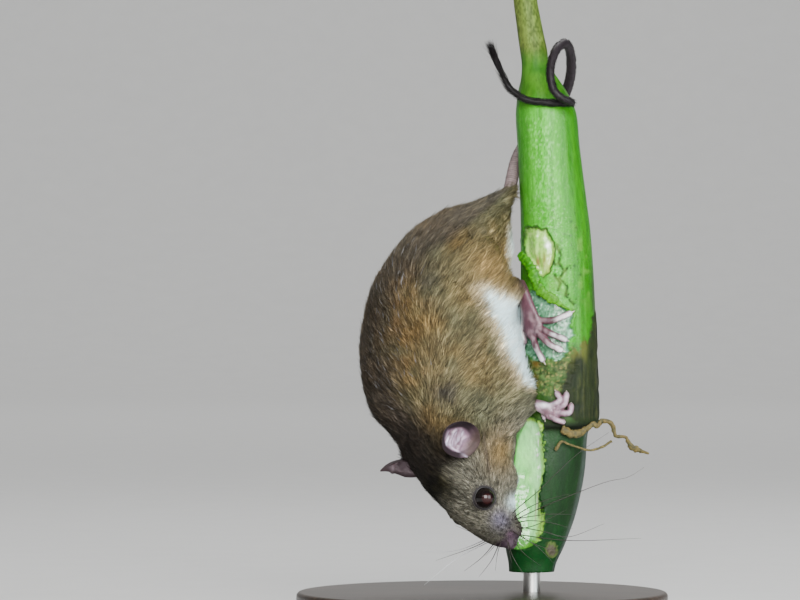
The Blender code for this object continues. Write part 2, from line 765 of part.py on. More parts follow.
def make_foot(name, palm, digits, side, drop, finish, clear):
    """A hand or foot: a flat sole lying on the stalk, and its digits, fused."""
    count = 6
    rows = curve_through([(x, 0, z + drop, w, t, lift) for x, z, w, t, lift in palm], count)
    centres = [on_stalk(row[0], row[2], row[4] + GAP + row[5], side) for row in rows]
    hints = []
    for i, centre in enumerate(centres):
        ahead = centres[min(i + 1, count - 1)] - centres[max(i - 1, 0)]
        middle, _ = stalk_at(centre.z)
        hints.append(Vector((centre.x - middle, centre.y, 0)).cross(ahead))
    bm = bmesh.new()
    tube(bm, centres, rows[:, 3], rows[:, 4], hints[0], 8, hints)
    pieces = [add_object(name, bm)]
    for i, (root_radius, tip_radius, points) in enumerate(digits):
        lowered = [(x, z + drop, lift) for x, z, lift in points]
        pieces += digit(f"{name}_{i}", lowered, side, root_radius, tip_radius)
    foot = fuse(name, pieces, finish)
    for cutter in clear:
        boolean(foot, cutter, "DIFFERENCE")
    keep_largest(foot)
    return finish_node(foot, finish)


# Sole of the hind foot from ankle to toes: x, z, half width, half thickness, lift off the stalk
HIND_SOLE = (
    (13.2, 140.6, 2.3, 2.2, 1.6),
    (14.3, 136.0, 2.5, 1.9, 0.7),
    (16.0, 129.0, 3.4, 1.6, 0.3),
    (17.8, 123.0, 4.0, 1.4, 0.1),
    (19.0, 120.2, 3.0, 1.2, 0.0),
)
# Toes, inner to outer: root radius, tip radius, points (x, z, lift)
HIND_TOES = (
    (1.05, 0.75, ((14.6, 127.5, 0.3), (14.3, 122.0, 0.3), (14.6, 118.0, 0.0))),
    (1.15, 0.80, ((17.2, 121.5, 0.3), (18.6, 116.5, 0.9), (21.0, 112.0, 0.0))),
    (1.20, 0.85, ((18.8, 122.0, 0.3), (23.4, 117.6, 1.0), (27.3, 115.6, 0.0))),
    (1.20, 0.85, ((19.2, 123.6, 0.3), (24.0, 121.2, 1.0), (28.8, 119.2, 0.0))),
    (1.15, 0.80, ((18.0, 127.0, 0.3), (20.4, 125.9, 0.3), (25.0, 126.2, 0.9), (30.6, 128.6, 0.0))),
)
# Palm of the hand from wrist to knuckles, and its fingers
HAND_PALM = (
    (18.0, 96.8, 2.2, 2.0, 0.8),
    (20.6, 95.9, 2.9, 1.7, 0.4),
    (24.0, 94.6, 3.4, 1.5, 0.2),
    (26.6, 94.2, 2.8, 1.2, 0.1),
)
HAND_FINGERS = (
    (1.05, 0.75, ((24.0, 96.4, 0.3), (27.4, 98.6, 1.2), (26.4, 101.2, 0.0))),
    (1.10, 0.80, ((25.6, 95.6, 0.3), (29.8, 97.8, 1.2), (30.0, 101.0, 0.0))),
    (1.10, 0.80, ((26.0, 94.0, 0.3), (31.0, 94.6, 1.2), (32.2, 97.6, 0.0))),
    (1.05, 0.75, ((24.0, 92.6, 0.3), (27.8, 90.6, 1.2), (30.0, 92.2, 0.0))),
    (0.80, 0.60, ((20.8, 94.4, 0.2), (21.8, 92.0, 0.2))),
)


def make_feet(finish, clear):
    for side, word in ((-1, "left"), (1, "right")):
        hind_drop = 0.0 if side < 0 else -3.0
        hand_drop = 0.0 if side < 0 else 2.1
        make_foot("hindfoot_" + word, HIND_SOLE, HIND_TOES, side, hind_drop, finish, clear)
        make_foot("forefoot_" + word, HAND_PALM, HAND_FINGERS, side, hand_drop, finish, clear)


def make_tail(finish, clear):
    """The tail as one tapering tube along its line, in several lengths with a thin gap between."""
    rows = curve_through(TAIL_LINE, 200)
    run = np.concatenate([[0], np.cumsum(np.linalg.norm(np.diff(rows, axis=0), axis=1))])
    total = run[-1]
    each = total / TAIL_LENGTHS

    def point(at):
        return Vector([np.interp(at, run, rows[:, k]) for k in range(3)])

    def radius(at):
        share = at / total
        return TAIL_ROOT_RADIUS + (TAIL_TIP_RADIUS - TAIL_ROOT_RADIUS) * share**0.9

    for i in range(TAIL_LENGTHS):
        start, end = i * each + GAP / 2, (i + 1) * each - GAP / 2
        steps = max(5, round(each / TAIL_STEP))
        places = np.linspace(start, end, steps)
        centres = [point(at) for at in places]
        aheads = [point(at + 0.4) - point(at - 0.4) for at in places]
        sizes = [radius(at) for at in places]
        bm = bmesh.new()
        tube(bm, centres, sizes, sizes, (0, 1, 0.1), TAIL_SIDES, aheads=aheads)
        length = add_object(f"tail_{i + 1}", bm)
        if i == 0:
            boolean(length, clear[1], "DIFFERENCE")
            keep_largest(length)
        finish_node(length, finish)
    return total


def make_tuft(finish):
    """The pointed tuft of long hairs that ends the tail, still one smooth form."""
    start = Vector(TAIL_LINE[-1])
    before = Vector(TAIL_LINE[-2])
    ahead = (start - before).normalized()
    line = [start + ahead * GAP, start + ahead * 2.5, start.lerp(TUFT_TIP, 0.6), TUFT_TIP]
    rows = curve_through(line, 8)
    sizes = np.interp(np.linspace(0, 1, 8), (0, 0.3, 1), (1.15, 1.2, 0.15))
    bm = bmesh.new()
    tube(bm, rows, sizes, sizes, (0, 1, 0), 8)
    finish_node(add_object("tail_tuft", bm), finish)


def make_stalk(finish):
    """The stalk with the two hollows that the mouse has gnawed in it."""
    stalk = stalk_form("stalk")
    bm = bmesh.new()
    ball(bm, (14.6, -10.6, 70.5), (7.4, 5.8, 24.5), None, 16, 12)
    trough = add_object("trough", bm)
    bm = bmesh.new()
    ball(bm, (19.2, -12.0, 150.5), (4.3, 3.4, 7.6), None, 14, 10)
    pit = add_object("pit", bm)
    for hollow in (trough, pit):
        boolean(stalk, hollow, "DIFFERENCE")
    remove(trough, pit)
    keep_largest(stalk)
    finish_node(stalk, finish)


def strip(name, line, radii, flat, count, finish):
    """A thin dried or peeled strip: an oval tube along a bent line."""
    rows = curve_through(line, count)
    sizes = np.interp(np.linspace(0, 1, count), np.linspace(0, 1, len(radii)), radii)
    bm = bmesh.new()
    tube(bm, rows, sizes, sizes * flat, (0, 0, 1), 5)
    return finish_node(add_object(name, bm), finish)


def make_strips(fibre, peel):
    """Torn fibres of the sheath that curl out to the right, and a strip peeled off the stalk."""
    strip("stalk_fibre", FIBRE, (1.3, 1.0, 0.8, 0.7, 0.6, 0.5, 0.9, 1.1, 0.35), 0.5, 28, fibre)
    strip("stalk_thread", THREAD, (0.4, 0.3, 0.3, 0.35, 0.5), 0.9, 16, fibre)
    places = [on_stalk(x, z, 1.0 + lift, -1) for x, z, lift in PEEL]
    strip("stalk_peel", places, (0.6, 1.2, 1.0, 1.3, 0.9, 0.5), 0.5, 13, peel)


def make_stand(finishes):
    """A round base and one short rod up to the cut foot of the stalk."""
    rod_top = STALK_FOOT - DROP - GAP
    bm = bmesh.new()
    bmesh.ops.create_cone(
        bm, cap_ends=True, segments=48, radius1=BASE_RADIUS, radius2=BASE_RADIUS, depth=BASE_HEIGHT
    )
    bmesh.ops.translate(bm, vec=(0, 0, BASE_HEIGHT / 2), verts=bm.verts)
    top_edges = [e for e in bm.edges if all(v.co.z > BASE_HEIGHT - 0.01 for v in e.verts)]
    bmesh.ops.bevel(bm, geom=top_edges, offset=BASE_BEVEL, segments=2, affect="EDGES", profile=0.5)
    finish_node(add_object("stand_base", bm), finishes["base"])
    foot_x, _ = stalk_at(STALK_FOOT)
    length = rod_top - BASE_HEIGHT - GAP
    bm = bmesh.new()
    bmesh.ops.create_cone(
        bm, cap_ends=True, segments=24, radius1=ROD_RADIUS, radius2=ROD_RADIUS, depth=length
    )
    bmesh.ops.translate(bm, vec=(foot_x, 0, BASE_HEIGHT + GAP + length / 2), verts=bm.verts)
    finish_node(add_object("stand_rod", bm), finishes["rod"])


def main():
    clear_scene()
    finishes = {
        "fur": material("fur", (0.33, 0.22, 0.11), 0.8),
        "skin": material("skin", (0.62, 0.44, 0.43), 0.5),
        "eye": material("eye", (0.02, 0.012, 0.01), 0.08),
        "tail": material("tail", (0.16, 0.12, 0.11), 0.6),
        "tuft": material("tuft", (0.03, 0.025, 0.02), 0.6),
        "stalk": material("stalk", (0.17, 0.42, 0.06), 0.35),
        "fibre": material("fibre", (0.42, 0.33, 0.12), 0.7),
        "peel": material("peel", (0.25, 0.55, 0.05), 0.4),
        "base": material("base", (0.05, 0.04, 0.035), 0.4),
        "rod": material("rod", (0.6, 0.6, 0.58), 0.3, 1.0),
    }
    head, clear = make_body(finishes)
    set_eyes(head, finishes)
    make_muzzle(head, finishes["fur"])
    finish_node(head, finishes["fur"])
    set_ears(clear, finishes)
    make_feet(finishes["skin"], clear)
    total = make_tail(finishes["tail"], clear)
    remove(*clear)
    make_tuft(finishes["tuft"])
    make_stalk(finishes["stalk"])
    make_strips(finishes["fibre"], finishes["peel"])
    perch = bpy.data.objects.new("perch", None)
    perch.location = (0, 0, -DROP * MM)
    bpy.context.scene.collection.objects.link(perch)
    for obj in bpy.data.objects:
        if obj.type == "MESH":
            obj.parent = perch
    make_stand(finishes)
    print("tail length in mm:", round(total, 1))


main()
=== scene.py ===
# %% [markdown]
# # A climbing mouse gnawing a green stalk
# The solids of the part give the true size, the pose and the place of every piece.
# This lesson dresses them: one skin over all the flesh, a coat of small hair tufts, bare ears,
# feet and tail, whiskers, the gnawed stalk with its torn fibres, and the plain stand.
# Each step first says what the real thing is like and why it is made the way it is.

# %% Load the solids and keep their box
import math
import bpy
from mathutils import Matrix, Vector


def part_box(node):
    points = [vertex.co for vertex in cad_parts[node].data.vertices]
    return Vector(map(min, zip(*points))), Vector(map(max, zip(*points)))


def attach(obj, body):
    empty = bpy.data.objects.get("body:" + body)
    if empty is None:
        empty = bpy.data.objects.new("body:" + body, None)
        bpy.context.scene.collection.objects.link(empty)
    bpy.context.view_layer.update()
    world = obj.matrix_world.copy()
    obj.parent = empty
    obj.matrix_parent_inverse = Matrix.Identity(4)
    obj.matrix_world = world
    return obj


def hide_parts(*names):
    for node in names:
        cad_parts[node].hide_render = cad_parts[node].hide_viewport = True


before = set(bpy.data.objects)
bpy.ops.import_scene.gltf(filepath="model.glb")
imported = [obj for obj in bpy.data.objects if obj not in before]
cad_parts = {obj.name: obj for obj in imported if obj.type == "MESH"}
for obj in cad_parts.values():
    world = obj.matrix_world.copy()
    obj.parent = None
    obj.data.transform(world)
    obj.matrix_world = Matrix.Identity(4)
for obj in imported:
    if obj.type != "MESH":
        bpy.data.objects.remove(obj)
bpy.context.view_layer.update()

from types import SimpleNamespace

import bmesh
import bpy
import numpy as np
from mathutils import Vector
from mathutils.bvhtree import BVHTree

# %% [markdown]
# The part was measured in millimetres from a level 21 mm under the base, with X to the right of
# the side view, Y away from the viewer and Z up. Keeping those numbers here makes every place
# easy to compare with the solids, so one small function turns them into metres at the end.

# %% Millimetres to metres
MM = 0.001
DROP = 21.0


def to_world(points):
    """Metres in the part's own frame, from the millimetres that the animal was measured in."""
    points = np.asarray(points, float)
    return (points - np.array((0.0, 0.0, DROP))) * MM


def to_local(points):
    """The way back, from metres to the animal's millimetres."""
    return np.asarray(points, float) / MM + np.array((0.0, 0.0, DROP))


print("a point 21 mm up lies at", to_world((0, 0, 21.0)))

# %% [markdown]
# Nothing natural is even. A value noise gives smooth random hills: random numbers sit on the
# corners of a grid and are blended in between. The same function later drives the lie of the
# hair, the markings and the bite marks, and a fixed seed makes each run the same.

# %% Smooth noise, ramps and curves
def lattice(ix, iy, iz, seed):
    mixed = ix * 73856093 ^ iy * 19349663 ^ iz * 83492791 ^ seed * 2654435
    mixed = (mixed ^ (mixed >> 13)) * 1274126177
    return ((mixed ^ (mixed >> 16)) & 0xFFFF) / 32767.5 - 1.0


def wander(points, size, seed):
    """Smooth noise between -1 and 1 whose hills are about size apart."""
    scaled = np.asarray(points, float) / size + 1000.0
    cell = np.floor(scaled).astype(np.int64)
    part = scaled - cell
    part = part * part * (3 - 2 * part)
    total = 0.0
    for dx in (0, 1):
        for dy in (0, 1):
            for dz in (0, 1):
                weight = np.where(dx, part[:, 0], 1 - part[:, 0])
                weight = weight * np.where(dy, part[:, 1], 1 - part[:, 1])
                weight = weight * np.where(dz, part[:, 2], 1 - part[:, 2])
                total = total + weight * lattice(cell[:, 0] + dx, cell[:, 1] + dy, cell[:, 2] + dz, seed)
    return total


def ramp(low, high, value):
    """0 at low, 1 at high, smooth in between; low may be the larger one."""
    share = np.clip((np.asarray(value, float) - low) / (high - low), 0, 1)
    return share * share * (3 - 2 * share)


def blend(one, two, share):
    """A mix of two colours for each point."""
    share = np.asarray(share)[..., None]
    return np.asarray(one) * (1 - share) + np.asarray(two) * share


def peak(value, at, width):
    """1 where a value reaches at, falling off over a width."""
    return np.exp(-(((value - at) / width) ** 2))


def layered(colours, *coats):
    """Colours under further (colour, share) coats, laid on one after another."""
    for colour, share in coats:
        colours = blend(colours, colour, share)
    return colours


def unit(vectors):
    return vectors / np.maximum(np.linalg.norm(vectors, axis=-1, keepdims=True), 1e-9)


CURVE_STEPS = 24


def curve_through(points, count):
    """count points spread evenly along a smooth curve through rows of numbers."""
    rows = np.array(points, float)
    ends = np.vstack([2 * rows[0] - rows[1], rows, 2 * rows[-1] - rows[-2]])
    steps = np.arange(CURVE_STEPS)[:, None] / CURVE_STEPS
    fine = []
    for i in range(1, len(ends) - 2):
        a, b, c, d = ends[i - 1 : i + 3]
        bend = (2 * a - 5 * b + 4 * c - d) * steps**2 + (3 * b - a - 3 * c + d) * steps**3
        fine.append(0.5 * (2 * b + (c - a) * steps + bend))
    fine = np.vstack(fine + [rows[-1:]])
    run = np.concatenate([[0], np.cumsum(np.linalg.norm(np.diff(fine[:, :3], axis=0), axis=1))])
    wanted = np.linspace(0, run[-1], count)
    return np.stack([np.interp(wanted, run, fine[:, k]) for k in range(fine.shape[1])], axis=1)


print("noise at three places:", wander([[0, 0, 0], [5, 0, 0], [9, 2, 1]], 4.0, 1).round(2))

# %% [markdown]
# Most pieces here are made as arrays of points and faces. That is quick even for a quarter of a
# million hair tufts, and each point can carry its own colour, which the finish reads back.

# %% Meshes from arrays
def add_piece(name, points, faces, finish, colours=None, world=True):
    """A mesh object from points in the animal's millimetres and faces of 3 or 4 corners."""
    mesh = bpy.data.meshes.new(name)
    places = to_world(points) if world else np.asarray(points, float)
    faces = [np.asarray(part, np.int32) for part in (faces if isinstance(faces, list) else [faces])]
    mesh.vertices.add(len(places))
    mesh.vertices.foreach_set("co", places.astype(np.float32).ravel())
    corners = np.concatenate([part.ravel() for part in faces])
    lengths = np.concatenate([np.full(len(part), part.shape[1], np.int32) for part in faces])
    starts = np.concatenate([[0], np.cumsum(lengths)[:-1]]).astype(np.int32)
    mesh.loops.add(len(corners))
    mesh.loops.foreach_set("vertex_index", corners)
    mesh.polygons.add(len(lengths))
    mesh.polygons.foreach_set("loop_start", starts)
    mesh.polygons.foreach_set("use_smooth", np.full(len(lengths), True))
    mesh.update(calc_edges=True)
    if colours is not None:
        paint(mesh, colours)
    mesh.materials.append(finish)
    piece = bpy.data.objects.new(name, mesh)
    bpy.context.scene.collection.objects.link(piece)
    return piece


def paint(mesh, colours, name="tint"):
    """Gives each point of a mesh its own linear colour."""
    layer = mesh.color_attributes.new(name, "FLOAT_COLOR", "POINT")
    whole = np.ones((len(mesh.vertices), 4), np.float32)
    whole[:, :3] = colours
    layer.data.foreach_set("color", whole.ravel())


def read(items, what, width, kind=np.float32):
    """A row of numbers for each point, edge or corner of a mesh."""
    found = np.empty(len(items) * width, kind)
    items.foreach_get(what, found)
    return found.reshape(-1, width)


def points_of(mesh):
    return read(mesh.vertices, "co", 3).astype(float)


def normals_of(mesh):
    return read(mesh.vertex_normals, "vector", 3).astype(float)


def triangles_of(mesh):
    mesh.calc_loop_triangles()
    return read(mesh.loop_triangles, "vertices", 3, np.int32)


def move_points(mesh, places):
    mesh.vertices.foreach_set("co", places.astype(np.float32).ravel())
    mesh.update()


def ring_faces(rings, turns):
    """Quads between closed rings of points, and fans to one point before and one after them."""
    index = np.arange(rings * turns).reshape(rings, turns)
    turn = np.roll(index, -1, axis=1)
    quads = np.stack([index[:-1], turn[:-1], turn[1:], index[1:]], -1).reshape(-1, 4)
    first = np.stack([turn[0], index[0], np.full(turns, rings * turns)], 1)
    last = np.stack([index[-1], turn[-1], np.full(turns, rings * turns + 1)], 1)
    return [quads, np.vstack([first, last])]


def tube_arrays(centres, widths, depths, first_side, sides, hints=None):
    """Points and quads of a closed tube of oval rings along a line."""
    centres = np.asarray(centres, float)
    count = len(centres)
    widths, depths = np.broadcast_to(widths, count), np.broadcast_to(depths, count)
    ahead = unit(np.gradient(centres, axis=0))
    angles = np.linspace(0, 2 * math.pi, sides, endpoint=False)[:, None]
    side = np.asarray(first_side, float)
    points = []
    for i in range(count):
        if hints is not None:
            side = hints[i]
        side = unit(side - ahead[i] * (side @ ahead[i]))
        up = np.cross(ahead[i], side)
        points.append(centres[i] + np.cos(angles) * side * widths[i] + np.sin(angles) * up * depths[i])
    return np.vstack(points + [centres[:1], centres[-1:]]), ring_faces(count, sides)


def join_arrays(parts):
    """Several (points, [faces...]) sets as one."""
    points, faces, start = [], {}, 0
    for some_points, some_faces in parts:
        points.append(some_points)
        for block in some_faces:
            faces.setdefault(block.shape[1], []).append(np.asarray(block) + start)
        start += len(some_points)
    return np.vstack(points), [np.vstack(blocks) for blocks in faces.values()]


def ball_arrays(centre, radii, axes=None, segments=20, rings=12):
    """Points and faces of an ellipsoid whose axes are the rows of axes."""
    theta = np.linspace(0, 2 * math.pi, segments, endpoint=False)
    phi = np.linspace(0, math.pi, rings + 1)[1:-1]
    grid = [(math.sin(p) * math.cos(t), math.sin(p) * math.sin(t), math.cos(p)) for p in phi for t in theta]
    grid = np.vstack([grid, [[0, 0, 1], [0, 0, -1]]]) * np.asarray(radii, float)
    if axes is not None:
        grid = grid @ np.asarray(axes, float)
    quads, caps = ring_faces(rings - 1, segments)
    return grid + np.asarray(centre, float), [quads[:, [0, 3, 2, 1]], caps[:, [1, 0, 2]]]


def apply_all(piece):
    """Makes the result of a piece's modifiers its own mesh."""
    graph = bpy.context.evaluated_depsgraph_get()
    made = bpy.data.meshes.new_from_object(piece.evaluated_get(graph), depsgraph=graph)
    finishes = list(piece.data.materials)
    piece.modifiers.clear()
    piece.data = made
    made.materials.clear()
    for finish in finishes:
        made.materials.append(finish)
    return piece


def melt(piece, voxel, iterations):
    """Turns overlapping forms into one even surface and softens it; voxel in millimetres."""
    step = piece.modifiers.new("melt", "REMESH")
    step.mode = "VOXEL"
    step.voxel_size = voxel * MM
    soften = piece.modifiers.new("soften", "SMOOTH")
    soften.factor = 0.5
    soften.iterations = iterations
    return apply_all(piece)


def settle(piece, slot, *nodes):
    """Says that the piece rides on the one body and what solids it stands for; the slot is not used."""
    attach(piece, "root")
    if nodes:
        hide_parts(*nodes)
    return piece


# %% [markdown]
# A finish is a Principled shader fed by colours and bumps. One helper makes the shader, sets its
# plain numbers on its own sockets, and adds rows of noise as bumps, as mottling of the points'
# colours, or as a grade between two colours. A row's last entry may squeeze the noise along an axis.

# %% Finishes
def noise_node(tree, scale, detail, stretch=None):
    """Noise in the object's own coordinates; stretch squeezes it along an axis."""
    source = tree.nodes.new("ShaderNodeTexCoord").outputs["Object"]
    grain = tree.nodes.new("ShaderNodeTexNoise")
    grain.inputs["Scale"].default_value = scale
    grain.inputs["Detail"].default_value = detail
    if stretch:
        scale_by = tree.nodes.new("ShaderNodeMapping")
        scale_by.inputs["Scale"].default_value = stretch
        tree.links.new(source, scale_by.inputs["Vector"])
        source = scale_by.outputs["Vector"]
    tree.links.new(source, grain.inputs["Vector"])
    return grain.outputs["Fac"]


def map_range(tree, source, low, high, at_low, at_high):
    """Turns the numbers from low to high into those from at_low to at_high."""
    spread = tree.nodes.new("ShaderNodeMapRange")
    for socket, value in zip(("From Min", "From Max", "To Min", "To Max"), (low, high, at_low, at_high)):
        spread.inputs[socket].default_value = value
    tree.links.new(source, spread.inputs["Value"])
    return spread.outputs["Result"]


def add_bump(tree, shader, scale, detail, strength, distance, stretch=None):
    bump = tree.nodes.new("ShaderNodeBump")
    bump.inputs["Strength"].default_value = strength
    bump.inputs["Distance"].default_value = distance
    tree.links.new(noise_node(tree, scale, detail, stretch), bump.inputs["Height"])
    if shader.inputs["Normal"].is_linked:
        tree.links.new(shader.inputs["Normal"].links[0].from_socket, bump.inputs["Normal"])
    tree.links.new(bump.outputs["Normal"], shader.inputs["Normal"])


def add_mottling(tree, shader, scale, detail, dark, light, stretch=None):
    """Multiplies the point colours by a noise between two greys."""
    mix = tree.nodes.new("ShaderNodeMix")
    mix.data_type = "RGBA"
    mix.blend_type = "MULTIPLY"
    mix.inputs["Factor"].default_value = 1.0
    tree.links.new(shader.inputs["Base Color"].links[0].from_socket, mix.inputs["A"])
    grain = noise_node(tree, scale, detail, stretch)
    tree.links.new(map_range(tree, grain, 0.3, 0.7, dark, light), mix.inputs["B"])
    tree.links.new(mix.outputs["Result"], shader.inputs["Base Color"])


def add_grade(tree, shader, scale, detail, first, second, stretch=None):
    """Colours the surface between two stops, each a place and a colour, along a noise."""
    grade = tree.nodes.new("ShaderNodeValToRGB")
    for stop, (place, colour) in zip(grade.color_ramp.elements, (first, second)):
        stop.position, stop.color = place, (*colour, 1)
    tree.links.new(noise_node(tree, scale, detail, stretch), grade.inputs["Fac"])
    tree.links.new(grade.outputs["Color"], shader.inputs["Base Color"])


def point_colour(tree, layer_name, socket):
    """Feeds a shader's socket from the values that each point of the mesh carries."""
    colour = tree.nodes.new("ShaderNodeVertexColor")
    colour.layer_name = layer_name
    tree.links.new(colour.outputs["Color"], socket)


def new_finish(name, roughness, bumps=(), mottling=None, grade=None, gloss=False, **numbers):
    made = bpy.data.materials.new(name)
    made.use_nodes = True
    tree, shader = made.node_tree, made.node_tree.nodes["Principled BSDF"]
    shader.inputs["Roughness"].default_value = roughness
    for socket, value in numbers.items():
        shader.inputs[socket.replace("_", " ")].default_value = value
    if grade:
        add_grade(tree, shader, *grade)
    else:
        point_colour(tree, "tint", shader.inputs["Base Color"])
    if gloss:
        point_colour(tree, "gloss", shader.inputs["Roughness"])
    for bump in bumps:
        add_bump(tree, shader, *bump)
    if mottling:
        add_mottling(tree, shader, *mottling)
    return made


# %% [markdown]
# The head hangs nose down, turned so that its crown faces the viewer a little. Its own axes make
# everything on it easy to place: how far back from the nose, how far to the animal's left, and how
# far up from the line of the jaw to the crown.

# %% Axes of the head
NOSE_TIP = np.array((10.9, -12.0, 47.0))
FORWARD = unit(np.array((0.43, -0.17, -0.89)))
ROLL = math.radians(40)
flat_up = unit(np.array((FORWARD[2], 0.0, -FORWARD[0])))
flat_left = unit(np.cross(flat_up, FORWARD))
UP = flat_up * math.cos(ROLL) + flat_left * math.sin(ROLL)
LEFT = unit(np.cross(UP, FORWARD))


def in_head(back, left, up):
    return NOSE_TIP - FORWARD * back + LEFT * left + UP * up


def head_place(points):
    """(distance behind the nose, to the animal's left, up) for points in millimetres."""
    offset = np.asarray(points, float) - NOSE_TIP
    return -(offset @ FORWARD), offset @ LEFT, offset @ UP


eye_spots = {}
for word in ("left", "right"):
    low, high = (to_local(np.array(corner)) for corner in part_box("eye_" + word))
    eye_spots[word] = (low + high) / 2
eye_spots["right"] = eye_spots["right"] + LEFT * 1.3 - UP * 0.9
EYE_RADIUS = 3.62
print("eyes at", {word: spot.round(1).tolist() for word, spot in eye_spots.items()})

# %% [markdown]
# The trunk runs along a bent line from the root of the tail to the neck. The hair lies along that
# line, the markings are drawn across it, and the coat's map for baking is unrolled around it.

# %% The line of the trunk
TRUNK = np.array((
    (9.6, 0.0, 171.5, 2.3), (4.6, 0.0, 165.2, 6.2), (-1.2, 0.0, 156.8, 14.0), (-5.4, 0.0, 151.0, 17.6),
    (-9.8, 0.0, 144.2, 21.1), (-12.4, 0.0, 137.0, 24.2), (-13.7, 0.0, 129.5, 27.1), (-13.8, 0.0, 116.0, 29.2),
    (-13.0, 0.0, 103.1, 28.1), (-10.4, -1.5, 92.5, 23.9), (-9.2, -3.5, 84.0, 20.8), (-9.0, -5.0, 77.0, 18.4),
))
SPINE = curve_through(TRUNK, 60)[::-1]
SPINE_AHEAD = unit(np.gradient(SPINE[:, :3], axis=0))


def trunk_place(points):
    """(share along the trunk toward the tail, back-to-belly place) of points."""
    heights = SPINE[:, 2]
    share = np.interp(points[:, 2], heights, np.linspace(0, 1, len(SPINE)))
    middle = np.stack([np.interp(points[:, 2], heights, SPINE[:, k]) for k in range(4)], 1)
    return share, (points[:, 0] - middle[:, 0]) / middle[:, 3]


print("trunk sections:", len(SPINE))

# %% [markdown]
# The mouse presses its belly to a stalk that is almost round. Its profile is needed early: the coat
# is thinner where the two touch, and the feet are later wrapped around it.

# %% Profile of the stalk
STALK = (
    (38.0, 17.4, 8.0), (41.5, 17.7, 8.6), (48.0, 18.7, 10.6), (58.5, 20.8, 12.0), (72.8, 22.8, 13.0),
    (86.8, 24.2, 13.0), (89.6, 26.2, 14.2), (98.0, 26.8, 13.9), (115.5, 26.8, 13.4), (133.0, 26.6, 13.0),
    (147.0, 26.1, 12.7), (162.8, 25.3, 12.0), (185.9, 23.4, 11.0), (196.0, 22.7, 10.85), (200.6, 22.2, 10.2),
    (205.5, 21.3, 8.7), (210.4, 20.2, 6.6), (215.3, 18.7, 4.8), (220.2, 18.1, 4.75), (227.5, 16.8, 4.45),
    (238.0, 15.2, 4.1), (246.0, 14.7, 4.0),
)


def stalk_at(height):
    rows = np.array(STALK)
    return np.interp(height, rows[:, 0], rows[:, 1]), np.interp(height, rows[:, 0], rows[:, 2])


print("stalk sections:", len(STALK))

# %% [markdown]
# A wild mouse's coat isn't one brown. Each hair is dark at its root, ochre further out and often
# black at its tip. The back is darker and greyer, the cheeks and thighs warmer, the belly bluish
# white. One function gives that colour for any place, so that skin and coat always agree.

# %% Markings of the coat
BACK = (0.058, 0.046, 0.040)
FLANK = (0.138, 0.121, 0.060)
OCHRE = (0.250, 0.168, 0.064)
RUST = (0.205, 0.112, 0.042)
OLIVE = (0.098, 0.106, 0.068)
CROWN = (0.003, 0.003, 0.002)
FACE = (0.158, 0.152, 0.120)
SLATE = (0.028, 0.031, 0.036)
WHITE = (0.770, 0.960, 1.000)
CREAM = (0.540, 0.455, 0.290)
SNOUT = (0.205, 0.190, 0.270)
NOSE = (0.036, 0.018, 0.032)
# Roots of the whiskers on the pad, where the hair is dark: sideways place, height
PAD_DOTS = (
    (8.6, 57.2), (9.4, 55.8), (8.0, 55.2), (11.0, 52.2), (8.2, 52.8), (6.6, 53.6), (7.4, 51.6), (9.2, 54.2),
    (9.9, 53.0), (6.3, 55.6), (7.1, 58.0), (5.2, 54.6), (10.4, 57.0), (6.0, 51.8),
)
# Where the white of the belly begins: height, sideways place
WHITE_EDGE = np.array((
    (84, 30), (98, 30), (101, 21), (103.3, 16.6), (108.1, 12.7), (113.1, 10.2), (118, 8.2), (122.9, 6.8),
    (127.9, 4.3), (132.8, 1.9), (135.0, 0.6), (138.5, -1.0), (142, 9.8), (160, 9.8),
))


def hill(x, z, place, size):
    """1 at a place of the side view, falling off over its width and height."""
    return np.exp(-(((x - place[0]) / size[0]) ** 2 + ((z - place[1]) / size[1]) ** 2))


